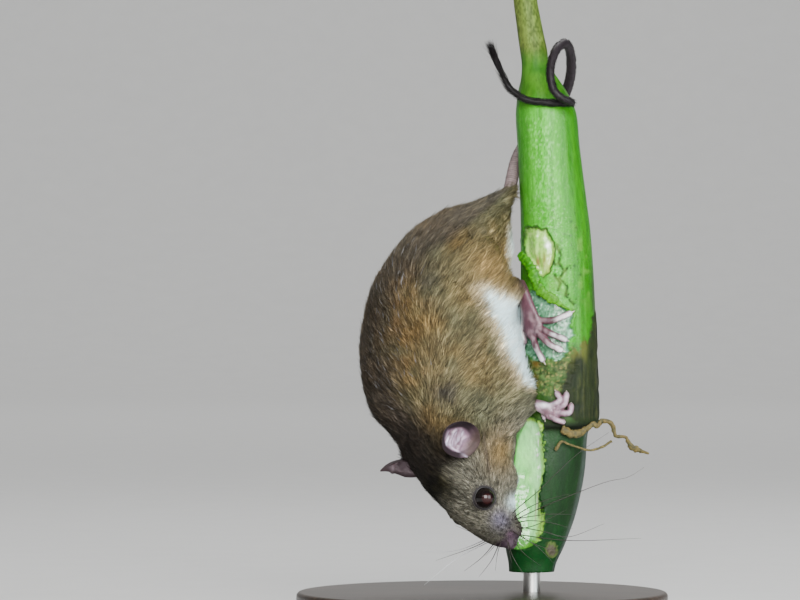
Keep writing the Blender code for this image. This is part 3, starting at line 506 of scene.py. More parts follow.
def coat_tone(points):
    """The colour of the outer half of the hair at points in millimetres, and how white it is."""
    x, y, z = points.T
    _, belly = trunk_place(points)
    back, left, up = head_place(points)
    # the ground colour of back and flanks
    slow = wander(points, 9.0, 11)
    patch = wander(points, 3.4, 12)
    tone = blend(FLANK, OCHRE, np.clip(0.26 + 0.35 * slow + 0.30 * patch, 0, 1))
    tone = blend(tone, OLIVE, np.clip(0.30 - 0.35 * slow + 0.30 * wander(points, 5.0, 13), 0, 0.85))
    tone = tone * (1 - 0.32 * hill(x, z, (-9, 155), (10, 8)))[:, None]
    tone = layered(
        tone,
        (np.array(OCHRE) * 1.08, 0.75 * hill(x, z, (4, 144), (10, 11))),
        (OLIVE, 0.55 * ramp(112, 96, z) * ramp(-12, 2, x)),
        (RUST, np.clip(0.50 * hill(x, z, (-26, 122), (10, 18)) * (0.8 + 0.7 * patch), 0, 0.8)),
    )
    # the dark back and a few slate patches
    edge = np.interp(z, (90, 115, 140, 155, 165), (-0.22, -0.38, -0.45, -0.28, -0.10)) + 0.12 * slow
    dark_back = ramp(0, 1, (edge - belly) / 0.5) * np.interp(z, (95, 130, 160), (1.0, 0.9, 0.8))
    tone = blend(tone, BACK, 0.85 * dark_back)
    for place, size, much in (
        ((-20, 142), (5, 7), 0.45), ((-13, 101.5), (6, 5), 0.55), ((-2, 121), (3, 8), 0.20)
    ):
        tone = blend(tone, SLATE, np.clip(much * hill(x, z, place, size) * (1 + 0.8 * patch), 0, 0.8))
    # the head: near-black crown, paler face, and a dark nape that is painted shade
    on_head = ramp(46, 33, back)
    crown = blend(CROWN, FLANK, np.clip(0.03 + 0.20 * patch + 0.15 * slow, 0, 0.35))
    front = ramp(30, 20, back + 2 * patch) * (1 - 0.8 * ramp(-2, -8, left) * ramp(14, 24, back))
    front = np.maximum(front, ramp(39, 32, back) * ramp(3, 9, left))
    crown = blend(crown, FACE, np.clip(0.95 * ramp(7, -2, up) + 0.95 * front, 0, 1))
    crown = crown * (1 + 0.22 * patch)[:, None]
    crown = blend(crown, np.array(BACK) * 0.6, 0.60 * ramp(26, 42, back) * ramp(6, -9, left))
    tone = blend(tone, crown, on_head)
    # painted shade: the back of the neck is darkened toward the animal's back
    nape = ramp(98, 86, z) * ramp(-2, -14, x) * ramp(30, 38, back)
    tone = blend(tone, np.array(BACK) * 0.35, 0.80 * nape)
    # warmer hair at the shoulders, and painted shade in the crease behind the elbow
    warm = hill(x, z, (6, 81), (6, 7)) * ramp(-6, -14, y)
    warm = warm + 0.5 * hill(x, z, (-13, 91), (6, 4)) * ramp(-8, -16, y)
    tone = blend(tone, np.array(OCHRE) * 0.95, np.clip(0.80 * warm, 0, 0.8))
    # painted shade: a dark line along the crease behind the elbow
    elbow_crease_shade = peak(x, np.interp(z, (73.9, 86.8), (2.1, 0.35)), 0.55)
    elbow_crease_shade = elbow_crease_shade * ramp(72, 75, z) * ramp(89, 86, z) * ramp(-8, -12, y)
    tone = layered(
        tone,
        (BACK, 0.75 * elbow_crease_shade),
        (np.array(FACE) * 0.66, ramp(12.0, 7.5, back)),
        (SNOUT, 0.85 * np.exp(-((x - 6.0) ** 2 + (z - 57.2) ** 2) / 11.0) * ramp(-6, -10, y)),
        ((0.125, 0.062, 0.115), 0.85 * np.exp(-((x - 9.8) ** 2 + (z - 51.6) ** 2) / 3.6) * ramp(-6, -10, y)),
    )
    # dots on the whisker pad, and the nose
    for dot_x, dot_z in PAD_DOTS:
        tone = blend(
            tone, (0.024, 0.018, 0.022),
            0.90 * np.exp(-(((x - dot_x) ** 2 + (z - dot_z) ** 2) / 0.34)) * ramp(-8, -11, y)
        )
    tone = blend(tone, NOSE, ramp(4.6, 2.4, back))
    # the white of belly and throat, with a cream edge
    ragged = 0.7 * wander(points, 3.0, 14) + 0.4 * wander(points, 1.1, 16)
    inward = x - np.interp(z, WHITE_EDGE[:, 0], WHITE_EDGE[:, 1]) + ragged
    groin = z - (137.7 - 0.38 * np.clip(x, 0, 20) + 0.6 * ragged)
    strip = ramp(142, 144.5, z) * ramp(162, 157, z + ragged) * ramp(8.3, 9.5, x + 0.3 * ragged)
    trunk_cream = np.maximum(ramp(4.5, -0.5, groin) * ramp(97, 99, z), strip)
    trunk_white = np.maximum(ramp(1.5, -3.2, groin) * ramp(97, 99, z), strip)
    throat = np.interp(back, (4, 10, 18, 24, 45), (-5.6, -5.0, -6.6, -7.5, -8.0))
    throat = ramp(0.8, -1.4, up - throat + 0.8 * wander(points, 2.5, 15))
    throat = throat * ramp(4, 8, back) * ramp(28, 21, back)
    tone = blend(tone, CREAM, ramp(-5.8, -0.8, inward) * trunk_cream * 0.85)
    white = np.maximum(ramp(-1.4, 2.6, inward) * trunk_white, throat)
    white = np.maximum(white, hill(x, z, (11.6, 63.2), (2.6, 2.4)) * ramp(0, -4, y))
    ankle = hill(np.minimum(x, 14.0), z, (14.0, 139.8), (2.6, 4.2))
    tone = blend(tone, (0.062, 0.044, 0.047), 0.92 * ankle)
    white = white * (1 - 0.9 * ankle)
    return blend(tone, WHITE, white), white


print("tone on the flank:", coat_tone(np.array([[-10.0, -22.0, 118.0]]))[0].round(3))

# %% [markdown]
# ## The skin
# Under the coat there is one skin over head, trunk and legs. The solids are split into parts with
# thin gaps, so copies of them are pushed out a hair's breadth, melted together with a voxel remesh,
# and then drawn in by the depth of the coat, so that the tips of the hair end where the solids do.
# The muzzle is lofted again without whiskers, with finer sections, because its shape matters most.

# %% Head and muzzle sections
HEAD = (
    (0.0, 0.0, 1.5, 1.7), (1.6, 0.2, 3.1, 3.3), (4.0, 0.8, 4.8, 5.4), (8.0, 1.9, 6.9, 8.0),
    (12.0, 2.7, 8.7, 10.0), (16.0, 3.3, 10.3, 11.7), (18.0, 3.4, 10.6, 12.0),
)
FLESH = (
    "head", "neck", "chest", "abdomen", "rump", "foreleg_left", "foreleg_right", "hindleg_left",
    "hindleg_right"
)
HEAD_AXES = (FORWARD, LEFT, UP)


def muzzle_arrays():
    rows = curve_through([(s, 0, 0, rise, w, h) for s, rise, w, h in HEAD], 30)
    centres = np.array([in_head(row[0], 0, row[3]) for row in rows])
    parts = [tube_arrays(centres, rows[:, 4], rows[:, 5], LEFT, 40)]
    for side in (-1, 1):
        parts.append(ball_arrays(in_head(6.2, 3.3 * side, -0.4), (4.3, 3.0, 3.7), HEAD_AXES))
    parts.append(ball_arrays(in_head(1.2, 0, 0.6), (1.8, 2.3, 1.8), HEAD_AXES))
    return join_arrays(parts)


# %% Melt the flesh into one surface
SWELL = 0.25
SKIN_VOXEL = 0.55
skin_finish = new_finish("skin_under_coat", 0.65, bumps=[(2600, 3.0, 0.35, 0.0002)], Specular_IOR_Level=0.25)


def flesh_surface():
    parts = [muzzle_arrays()]
    for name in FLESH:
        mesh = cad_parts[name].data
        swollen = to_local(points_of(mesh) + normals_of(mesh) * SWELL * MM)
        parts.append((swollen, [triangles_of(mesh)]))
    whole = add_piece("skin", *join_arrays(parts), skin_finish)
    return melt(whole, SKIN_VOXEL, 6)


skin = flesh_surface()
print("skin points:", len(skin.data.vertices))

# %% Draw it in by the depth of the coat
FULL_DEPTH = 2.1
DRAW_STEPS = 4
SHANK = np.array((11.0, 11.5, 137.5))
WRIST = np.array((16.0, 14.6, 96.2))
# Side of each pair of limbs, how much lower its foot and how much higher its hand is
LIMB_SIDES = (("left", -1, 0.0, 0.0), ("right", 1, -3.0, 2.1))


def away_from(points, spot):
    return np.linalg.norm(points - spot, axis=1)


def gap_to_stalk(points):
    middle, radius = stalk_at(points[:, 2])
    return np.hypot(points[:, 0] - middle, points[:, 1]) - radius


def coat_depth(points):
    """How thick the coat is, square to the skin, in millimetres."""
    back, _, _ = head_place(points)
    on_head = np.interp(back, (0, 3, 8, 14, 24, 36, 46), (0.0, 0.15, 0.5, 0.8, 1.1, 1.5, FULL_DEPTH))
    depth = np.where(back < 46, on_head, FULL_DEPTH)
    depth = np.minimum(depth, np.interp(gap_to_stalk(points), (1.5, 7.0), (0.9, FULL_DEPTH)))
    for spot in eye_spots.values():
        depth = np.minimum(
            depth, np.interp(away_from(points, spot), (3.5, 5.5, 9.0), (0.35, 0.6, FULL_DEPTH))
        )
    for _, side, drop, lift in LIMB_SIDES:
        for end, shift in ((SHANK, drop), (WRIST, lift)):
            place = end * np.array((1, side, 1)) + np.array((0, 0, shift))
            depth = np.minimum(depth, np.interp(away_from(points, place), (2.0, 9.0), (0.5, FULL_DEPTH)))
    return depth


def soften(points, edges, share):
    """One round of smoothing: each point moves toward the mean of its neighbours."""
    total = np.zeros_like(points)
    count = np.zeros(len(points))
    for one, two in ((0, 1), (1, 0)):
        np.add.at(total, edges[:, one], points[edges[:, two]])
        np.add.at(count, edges[:, one], 1)
    return points + (total / count[:, None] - points) * share


def draw_in(piece):
    mesh = piece.data
    edges = read(mesh.edges, "vertices", 2, np.int32)
    depth = coat_depth(to_local(points_of(mesh))) + SWELL
    for _ in range(DRAW_STEPS):
        points = points_of(mesh) - normals_of(mesh) * (depth / DRAW_STEPS * MM)[:, None]
        move_points(mesh, soften(points, edges, 0.35))


draw_in(skin)
print("skin now measures", [round(side, 3) for side in skin.dimensions])

# %% [markdown]
# The tip of the muzzle has the finest shapes: a bare nose pad with two comma-shaped nostrils, a
# groove down to the split lip, and the line of the mouth. The faces there are cut smaller first,
# then points are pushed in and out by small bell curves around each feature.

# %% Nose, lips and mouth
def refine_near(piece, centre, radius):
    bm = bmesh.new()
    bm.from_mesh(piece.data)
    middle = Vector(to_world(centre))
    near = [edge for edge in bm.edges if all((v.co - middle).length < radius * MM for v in edge.verts)]
    bmesh.ops.subdivide_edges(bm, edges=near, cuts=1, use_grid_fill=True)
    bmesh.ops.triangulate(bm, faces=[face for face in bm.faces if len(face.verts) > 4])
    bm.to_mesh(piece.data)
    bm.free()
    piece.data.shade_smooth()


def bell(points, back, left, up, radii):
    """1 at a place of the head, falling off to 0 at about twice the radii along the head's axes."""
    offset = points - in_head(back, left, up)
    along = np.stack([offset @ FORWARD, offset @ LEFT, offset @ UP], 1) / np.asarray(radii)
    return np.exp(-(along**2).sum(1))


def along_line(points, line, radius):
    """1 on a bent line, falling off over radius."""
    best = np.full(len(points), 1e9)
    for spot in curve_through(line, 60):
        best = np.minimum(best, ((points - spot) ** 2).sum(1))
    return np.exp(-best / radius**2)


def carve_face(piece):
    refine_near(piece, in_head(5, 0, 0), 9.5)
    refine_near(piece, in_head(2.0, 0, -0.5), 4.6)
    mesh = piece.data
    points, normals = to_local(points_of(mesh)), normals_of(mesh)
    back, left, up = head_place(points)
    push = 0.25 * bell(points, 0.6, 0, 0.9, (2.0, 2.0, 1.5))
    for side in (-1, 1):
        push -= 0.75 * bell(points, 0.7, 1.35 * side, 0.5, (0.7, 0.38, 0.42))
        push -= 0.45 * bell(points, 1.5, 2.1 * side, 0.9, (0.8, 0.5, 0.35))
        push += 0.22 * bell(points, 0.4, 1.9 * side, 1.2, (0.8, 0.6, 0.5))
        push += 0.45 * bell(points, 6.0, 4.6 * side, -2.2, (3.2, 2.4, 1.9))
    push -= 0.45 * ramp(0.42, 0.0, np.abs(left)) * ramp(0.9, -0.6, up) * ramp(4.6, 3.0, back)
    for side in (-1, 1):
        mouth = ((2.6, 0.2, -2.7), (4.2, 2.0, -4.0), (6.8, 4.0, -5.0), (10.2, 5.6, -5.6))
        spots = [in_head(behind, aside * side, above) for behind, aside, above in mouth]
        on_skin = [points[np.argmin(((points - spot) ** 2).sum(1))] for spot in spots]
        push -= 0.60 * along_line(points, on_skin, 0.42)
    move_points(mesh, to_world(points + normals * push[:, None]))


carve_face(skin)
print("after carving:", len(skin.data.vertices), "points")

# %% Colour and finish of the skin
def colour_skin(piece):
    points = to_local(points_of(piece.data))
    tone, white = coat_tone(points)
    back, _, _ = head_place(points)
    # painted shade: under the hair the skin takes the hair's tone darkened to 0.42, or to 0.85 under white
    # hair, for the shade among the hairs
    under = tone * np.where(white > 0.5, 0.85, 0.42)[:, None]
    bare = ramp(4.0, 2.0, back + 0.4 * wander(points, 1.5, 21))
    pink = blend((0.082, 0.055, 0.073), (0.046, 0.031, 0.042), ramp(-0.4, 0.5, wander(points, 1.2, 22)))
    nostrils = [bell(points, 0.7, 1.35 * side, 0.5, (0.8, 0.36, 0.40)) for side in (-1, 1)]
    # painted shade inside the nostrils
    pink = blend(pink, (0.03, 0.012, 0.012), np.clip(np.maximum(*nostrils) * 1.3, 0, 1))
    under = blend(under, pink, bare)
    for spot in eye_spots.values():
        under = blend(under, (0.035, 0.028, 0.028), ramp(5.2, 4.2, away_from(points, spot)))
    paint(piece.data, under)


colour_skin(skin)
settle(skin, "fur", "muzzle", *FLESH)
print("skin faces:", len(skin.data.polygons))

# %% [markdown]
# ## The eyes
# A night-active mouse has large, wet, black eyes that bulge from dark-rimmed lids. Each eye is a
# ball with a slightly steeper cornea in front, and a lid ring of thin dark skin hugs it.

# %% Eyeballs and lids
eye_finish = new_finish("wet_eye", 0.03, IOR=1.38)
lid_finish = new_finish("lid_skin", 0.28, bumps=[(3000, 3.0, 0.4, 0.0001)])
# Rings of the lid: distance from the eye's middle line, height above the eye's centre, shade
LID_RINGS = (
    (3.58, 0.60, 0.5), (3.70, 0.74, 0.4), (3.86, 0.66, 0.5), (4.05, 0.38, 0.9), (4.4, -0.10, 1.7),
    (4.6, -0.9, 1.6),
)
LID_TURNS = 64


def eye_out(side):
    return unit(LEFT * side * 0.80 + UP * 0.42 + FORWARD * 0.30)


def make_eye(word, side):
    out = eye_out(side)
    across = unit(FORWARD - out * (FORWARD @ out))
    tall = np.cross(out, across)
    spot = eye_spots[word]
    points, faces = ball_arrays((0, 0, 0), (1, 1, 1), None, 48, 32)
    cornea = 1 + 0.045 * peak(1 - points[:, 2], 0, 0.28)
    local = points * cornea[:, None] * EYE_RADIUS
    places = spot + local[:, :1] * across + local[:, 1:2] * tall + local[:, 2:] * out
    # the dark red centre at the front of the eye is a faint painted eyeshine
    tints = blend((0.006, 0.004, 0.004), (0.022, 0.006, 0.006), ramp(0.80, 0.95, points[:, 2]))
    settle(add_piece("eye_ball_" + word, places, faces, eye_finish, tints), "eye", "eye_" + word)
    angles = np.linspace(0, 2 * math.pi, LID_TURNS, endpoint=False)[:, None]
    corner = 1 + 0.06 * np.cos(angles) ** 8
    rings = []
    for reach, lift, _ in LID_RINGS:
        ring = spot + np.cos(angles) * (reach * corner) * across
        ring = ring + np.sin(angles) * (reach * corner) * 0.97 * tall
        rings.append(ring + out * (lift + 0.10 * np.sin(9 * angles) * (reach > 3.9)))
    rings = [rings[0] - out * 1.2] + rings
    quads, _ = ring_faces(len(rings) + 1, LID_TURNS)
    shade = np.repeat([0.4] + [shade for _, _, shade in LID_RINGS], LID_TURNS)
    tints = np.array((0.022, 0.019, 0.021)) * shade[:, None]
    settle(add_piece("eye_lid_" + word, np.vstack(rings), quads % len(shade), lid_finish, tints), "skin")


for word, side in (("left", 1), ("right", -1)):
    make_eye(word, side)
print("eyes and lids made")

# %% [markdown]
# ## The ears
# The ears are thin round cups of bare, shiny skin, dark at the rim and pink inside, with a few
# raised folds that run from the deep root toward the edge. Each is a bent sheet with a front and a
# back, made from the same sizes as the solid but with many more rows.

# %% Ear cups
EAR_ROOT = (14.3, 7.6)
EAR_STAND = 4.4
EAR_WIDTH = 13.0
EAR_RINGS, EAR_TURNS = 44, 120
# For each ear: distance of its root behind the nose, how deep it is sunk, its length, how far its
# outline narrows to a point, and the ways that its length and its width run
EARS = {
    "left": (34.9, 1.2, 16.2, 0.0, (-0.80, -0.52, 0.28), (0.40, -0.14, 0.90)),
    "right": (39.0, 6.0, 15.6, 0.85, (-0.985, 0.15, 0.07), (-0.10, -0.88, 0.46)),
}
# Raised folds: place across the ear, where each starts and ends along it, height
EAR_FOLDS = (
    (0.46, -0.55, 0.20, 0.55), (0.20, -0.60, 0.40, 0.85), (-0.06, -0.30, 0.50, 0.75),
    (-0.30, -0.62, 0.10, 0.60)
)
# Painted highlights on the wet skin: place across and along, width, length, strength
EAR_PAINTED_HIGHLIGHTS = (
    (0.50, -0.30, 0.10, 0.30, 1.0), (0.30, 0.02, 0.07, 0.24, 0.6), (-0.06, -0.22, 0.08, 0.20, 1.0),
    (0.12, 0.22, 0.05, 0.18, 0.6), (-0.14, 0.24, 0.06, 0.16, 0.6), (0.36, -0.52, 0.26, 0.08, 0.7),
    (0.12, -0.38, 0.06, 0.20, 0.5),
)
ear_finish = new_finish(
    "ear_skin", 0.30, [(1400, 5.0, 0.5, 0.00025)], (420, 4.0, 0.8, 1.15), gloss=True, Subsurface_Weight=0.03,
    Subsurface_Scale=0.0004, Subsurface_Radius=(1.0, 0.35, 0.25), Specular_IOR_Level=0.3,
)


def head_solid():
    """A ray caster on the head's solid, in millimetres."""
    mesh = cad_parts["head"].data
    return BVHTree.FromPolygons([Vector(p) for p in to_local(points_of(mesh))], triangles_of(mesh).tolist())


def ear_tints(word, v, u, r, lumps, folds, fold_groove_shade, ledge):
    """Colours of the front and the back, and how much each point belongs to the dark rim."""
    near_root = ramp(-0.25, -0.75, v)
    # painted shade: the dark rim is widened over the upper side and toward the tip
    rim_shade_side = np.maximum(ramp(-0.05, 0.40, u), 0.7 * ramp(0.45, 0.75, v))
    rimness = np.maximum(ramp(0.66, 0.80, r), ramp(0.44, 0.66, r) * rim_shade_side) * (1 - 0.70 * near_root)
    if word == "right":
        front = blend((0.210, 0.160, 0.178), (0.050, 0.034, 0.038), ramp(0.74, 0.94, r))
        return front, blend((0.150, 0.110, 0.120), (0.050, 0.034, 0.038), rimness), rimness
    # painted highlights: pale lavender streaks where the wet skin gleams
    ear_highlight_paint = 0.0
    for at_v, at_u, wide, tall, much in EAR_PAINTED_HIGHLIGHTS:
        slant = (v - at_v - 0.12 * (u - at_u)) / wide
        ear_highlight_paint = ear_highlight_paint + much * np.exp(-(slant**2 + ((u - at_u) / tall) ** 2))
    front = layered(
        (0.150, 0.080, 0.115),
        ((0.270, 0.170, 0.235), np.clip(0.5 + 0.6 * lumps, 0, 1)),
        # painted shade over the upper half of the cup
        ((0.130, 0.075, 0.100), ramp(0.05, 0.50, u) * 0.8),
        ((0.085, 0.058, 0.048), near_root * 0.92),
        ((0.760, 0.680, 0.860), np.clip(ear_highlight_paint * (0.75 + 0.4 * lumps), 0, 0.92)),
        # painted highlights on the fold tops and along the lower ledge, then painted shade in the grooves
        # beside the folds
        ((0.560, 0.460, 0.580), np.clip(folds * 0.25 + ledge * 0.9, 0, 0.8)),
        ((0.110, 0.055, 0.075), np.clip(fold_groove_shade * 0.8, 0, 0.8)),
        ((0.012, 0.005, 0.008), rimness),
    )
    return front, blend((0.13, 0.085, 0.085), (0.055, 0.036, 0.034), rimness), rimness


def make_ear(word, side, solid):
    back, sunk, length, narrowing, *aims = EARS[word]
    aside, above = EAR_ROOT
    outward = unit(LEFT * side * aside + UP * above)
    surface, _, _, _ = solid.ray_cast(Vector(in_head(back, 0, 0)), Vector(outward))
    root = np.array(surface) - outward * sunk
    rise, across = (unit(np.array(aim)) for aim in aims)
    across = unit(across - rise * (across @ rise))
    face = np.cross(across, rise)
    r = np.linspace(0.02, 1, EAR_RINGS)[:, None]
    angles = np.linspace(0, 2 * math.pi, EAR_TURNS, endpoint=False)[None, :]
    outline = 1 + 0.025 * np.sin(3 * angles + 0.6) + 0.015 * np.sin(5 * angles)
    v, u = r * np.cos(angles), r * np.sin(angles)
    u = u * (1 - narrowing * np.maximum(0, v))
    flat = np.stack([v.ravel() * 8, u.ravel() * 6.5, 0 * u.ravel() + 3 * side], 1)
    lumps = wander(flat, 2.6, 81).reshape(v.shape)
    folds, fold_groove_shade = 0.0, 0.0
    for place, low, high, size in EAR_FOLDS:
        line = place + 0.10 * np.sin(3.1 * u + place * 9) + 0.05 * lumps
        reach = ramp(low - 0.12, low + 0.12, u) * ramp(high + 0.12, high - 0.12, u)
        folds = folds + size * peak(v, line, 0.085) * reach
        # painted shade beside each fold; it only colours the front
        fold_groove_shade = fold_groove_shade + peak(v - line, 0.125, 0.045) * reach
    ledge = peak(u + 0.66 - 0.16 * v, 0, 0.06) * ramp(0.30, 0.05, v) * ramp(-0.80, -0.60, v)
    dip = -2.5 * (1 - r * r) + 1.5 * np.maximum(0, v) ** 3 + 0.35 * ramp(0.80, 0.97, r)
    dip = dip + 0.22 * lumps * ramp(1.0, 0.6, r)
    along = (1 + v * outline) / 2
    stand = (EAR_STAND * (1 - (1 - np.clip(along / 0.3, 0, 1)) ** 2))[..., None] * outward
    place = root + stand + (length * along)[..., None] * rise
    place = place + (0.5 * EAR_WIDTH * outline * u)[..., None] * across
    sheets = [
        place + (dip + shift + bumps)[..., None] * face
        for shift, bumps in ((0.22, folds + 0.5 * ledge), (-0.22, -0.15 * folds))
    ]
    points = np.concatenate(
        [sheet.reshape(-1, 3) for sheet in sheets] + [sheet[:1].mean(1) for sheet in sheets]
    )
    front, caps = ring_faces(EAR_RINGS, EAR_TURNS)
    below = EAR_RINGS * EAR_TURNS
    last = np.arange(below - EAR_TURNS, below)
    turn = np.roll(last, -1)
    edge = np.stack([last, turn, turn + below, last + below], 1)
    hub = np.column_stack([caps[:EAR_TURNS, :2], np.full(EAR_TURNS, 2 * below)])
    hubs = np.vstack([hub, hub[:, ::-1] + np.array((1, below, below))])
    spread = [np.broadcast_to(value, v.shape).ravel() for value in (v, u, r, lumps, folds, fold_groove_shade, ledge)]
    front_tint, back_tint, rimness = ear_tints(word, *spread)
    tints = np.vstack([front_tint, back_tint, front_tint[:1], back_tint[:1]])
    quads = np.vstack([front, front[:, ::-1] + below, edge])
    ear = add_piece("ear_cup_" + word, points, [quads, hubs], ear_finish, tints)
    bm = bmesh.new()
    bm.from_mesh(ear.data)
    bmesh.ops.recalc_face_normals(bm, faces=bm.faces)
    bm.to_mesh(ear.data)
    bm.free()
    dull = 0.24 + 0.56 * rimness
    paint(ear.data, np.concatenate([dull, dull * 0 + 0.6, dull[:1], [0.6]])[:, None], "gloss")
    settle(ear, "skin", "ear_" + word)
    return root


head_caster = head_solid()
ear_roots = [make_ear(word, side, head_caster) for word, side in (("left", 1), ("right", -1))]
print("ear roots:", [root.round(1).tolist() for root in ear_roots])

# %% [markdown]
# ## The stalk
# The mouse hangs on a fleshy green stalk: a thin mottled stem, a shoulder, a swollen glossy tube
# and, below a torn step, a darker sheath. The mouse has gnawed it, so pale wet flesh shows in two
# hollows and in a scraped patch. The surface is a fine grid around the stalk's bent middle line,
# and the bites are cut by moving its points inward: the long one until they lie on an egg-shaped
# form, the others by a small depth inside their ragged outlines.

# %% Places on the stalk and bites
def on_stalk(x, z, off, side):
    """A point off the stalk's surface, in front of it (side -1) or behind (side 1)."""
    middle, radius = stalk_at(z)
    reach = radius + off
    across = np.clip((x - middle) / reach, -0.985, 0.985)
    return np.array((middle + across * reach, side * reach * math.sqrt(1 - across * across), z))


def bite_depth(radius, middle, angles, heights, centre, radii):
    """How far each ray from the stalk's middle must be shortened to clear an egg-shaped bite."""
    dx, dy = np.cos(angles), np.sin(angles)
    ox, oy = middle - centre[0], -centre[1]
    oz = heights - centre[2]
    rx, ry, rz = radii
    a = (dx / rx) ** 2 + (dy / ry) ** 2
    b = 2 * (ox * dx / rx**2 + oy * dy / ry**2)
    c = (ox / rx) ** 2 + (oy / ry) ** 2 + (oz / rz) ** 2 - 1
    inside = b * b - 4 * a * c
    near = (-b - np.sqrt(np.maximum(inside, 0))) / (2 * a)
    far = (-b + np.sqrt(np.maximum(inside, 0))) / (2 * a)
    hit = (inside > 0) & (near > 0) & (near < radius) & (far > radius - 0.05)
    return np.where(hit, radius - near, 0.0)


# Torn places as seen from the side: sideways place, height
CAVITY = (
    (10.5, 91.7), (14.7, 92.1), (17.5, 92.1), (21.3, 90.0), (20.6, 87.5), (20.3, 85.1), (21.3, 82.2),
    (21.3, 79.5), (21.7, 76.0), (21.0, 72.8), (19.9, 69.0), (18.5, 65.5), (19.2, 62.0), (21.0, 58.8),
    (21.7, 55.7), (21.0, 52.2), (19.2, 49.4), (16.4, 46.9), (12.9, 45.9), (9.1, 47.2), (6.3, 56.0),
    (6.3, 80.5),
)
HOLLOW = (
    (14.7, 157.9), (16.1, 158.9), (17.5, 158.2), (18.9, 158.9), (20.6, 157.5), (22.0, 157.9), (23.4, 155.8),
    (24.8, 153.3), (25.2, 150.5), (25.2, 148.1), (24.1, 144.9), (23.1, 142.4), (21.3, 140.7), (19.6, 141.4),
    (18.5, 143.5), (17.1, 145.9), (15.7, 147.7), (14.7, 150.5), (14.3, 154.0),
)
TISSUE = (
    (11.9, 134.4), (16.8, 136.5), (20.6, 136.2), (24.5, 134.1), (26.2, 131.9), (29.4, 130.2), (31.1, 127.4),
    (30.8, 123.9), (31.8, 121.1), (29.7, 118.3), (30.1, 115.5), (28.0, 113.4), (25.9, 111.7), (23.1, 112.7),
    (20.3, 111.3), (17.5, 112.0), (14.0, 115.5), (10.5, 122.5),
)
BARK = (
    (15.4, 112.7), (20.3, 112.0), (23.1, 113.1), (25.9, 111.7), (28.7, 114.5), (31.5, 117.3), (33.9, 114.8),
    (32.9, 109.2), (31.1, 105.0), (31.8, 100.8), (28.0, 98.7), (22.0, 99.4), (18.2, 101.5), (16.1, 106.4),
)
SHEATH = (
    (30.2, 112.2), (32.0, 116.6), (33.4, 114.6), (34.8, 119.8), (36.4, 118.2), (38.4, 127.0), (43.4, 136.0),
    (46.0, 88.2), (37.8, 89.0), (33.6, 90.2), (29.4, 92.8), (26.2, 98.7), (28.0, 103.6), (29.0, 107.8),
)
CRACKS = (
    (
        (25.5, 152.0), (27.3, 148.5), (26.2, 145.8), (28.4, 143.0), (26.6, 140.5), (29.6, 137.6),
        (28.7, 134.4), (31.8, 131.5)
    ),
    ((24.4, 147.0), (25.9, 143.8), (24.9, 141.4), (26.9, 139.0), (26.0, 136.4)),
    ((28.4, 143.0), (30.2, 144.6), (31.4, 142.2)),
    ((28.7, 134.4), (31.0, 135.6), (32.4, 133.6)),
)
DARK_SPECKS = (
    (27.3, 150.5), (32.5, 158.2), (30.8, 160.3), (31.9, 144.9), (34.0, 141.8), (29.1, 136.5), (30.5, 155.4)
)


def depth_inside(x, z, outline):
    """How far inside a closed outline of the side view each place lies; negative outside."""
    spots = np.stack([x, z], 1)
    corners = np.array(outline)
    best = np.full(len(x), 1e9)
    inside = np.zeros(len(x), bool)
    for one, two in zip(corners, np.roll(corners, -1, axis=0)):
        edge = two - one
        share = np.clip(((spots - one) @ edge) / (edge @ edge), 0, 1)
        best = np.minimum(best, ((spots - one - share[:, None] * edge) ** 2).sum(1))
        crosses = (one[1] > z) != (two[1] > z)
        if edge[1]:
            inside ^= crosses & (x < one[0] + edge[0] * (z - one[1]) / edge[1])
    return np.sqrt(best) * np.where(inside, 1, -1)


FRONT_COLUMNS, REAR_COLUMNS = 118, 32


def stalk_grid():
    """Heights and angles of the grid, closer together where the stalk is torn and faces the viewer."""
    heights = np.concatenate(
        [np.arange(38.0, 43.0, 0.6), np.arange(43.0, 166.0, 0.34), np.arange(166.0, 246.1, 0.75)]
    )
    front = math.pi + np.linspace(0, math.pi, FRONT_COLUMNS, endpoint=False)
    rear = np.linspace(0, math.pi, REAR_COLUMNS, endpoint=False)
    return heights, np.concatenate([rear, front])[None, :]


# Noises over the stalk: name, size of the hills, squeeze along the axes, seed
STALK_NOISES = (
    ("streaks", 1.4, (1, 1, 0.06), 31), ("lumps", 9.0, (1, 1, 0.4), 32), ("fine", 0.75, (1, 1, 1), 33),
    ("dots", 0.50, (1, 1, 1), 37), ("grain", 2.6, (1, 1, 1), 34), ("tooth", 1.8, (1, 1, 2.0), 35),
    ("thread", 0.7, (1, 1, 0.12), 36),
)
# Outlines of the torn places, and how ragged each is
TORN_PLACES = (
    ("cavity", CAVITY, 0.9), ("hollow", HOLLOW, 0.9), ("tissue", TISSUE, 1.6), ("bark", BARK, 1.6),
    ("sheath", SHEATH, 1.6),
)


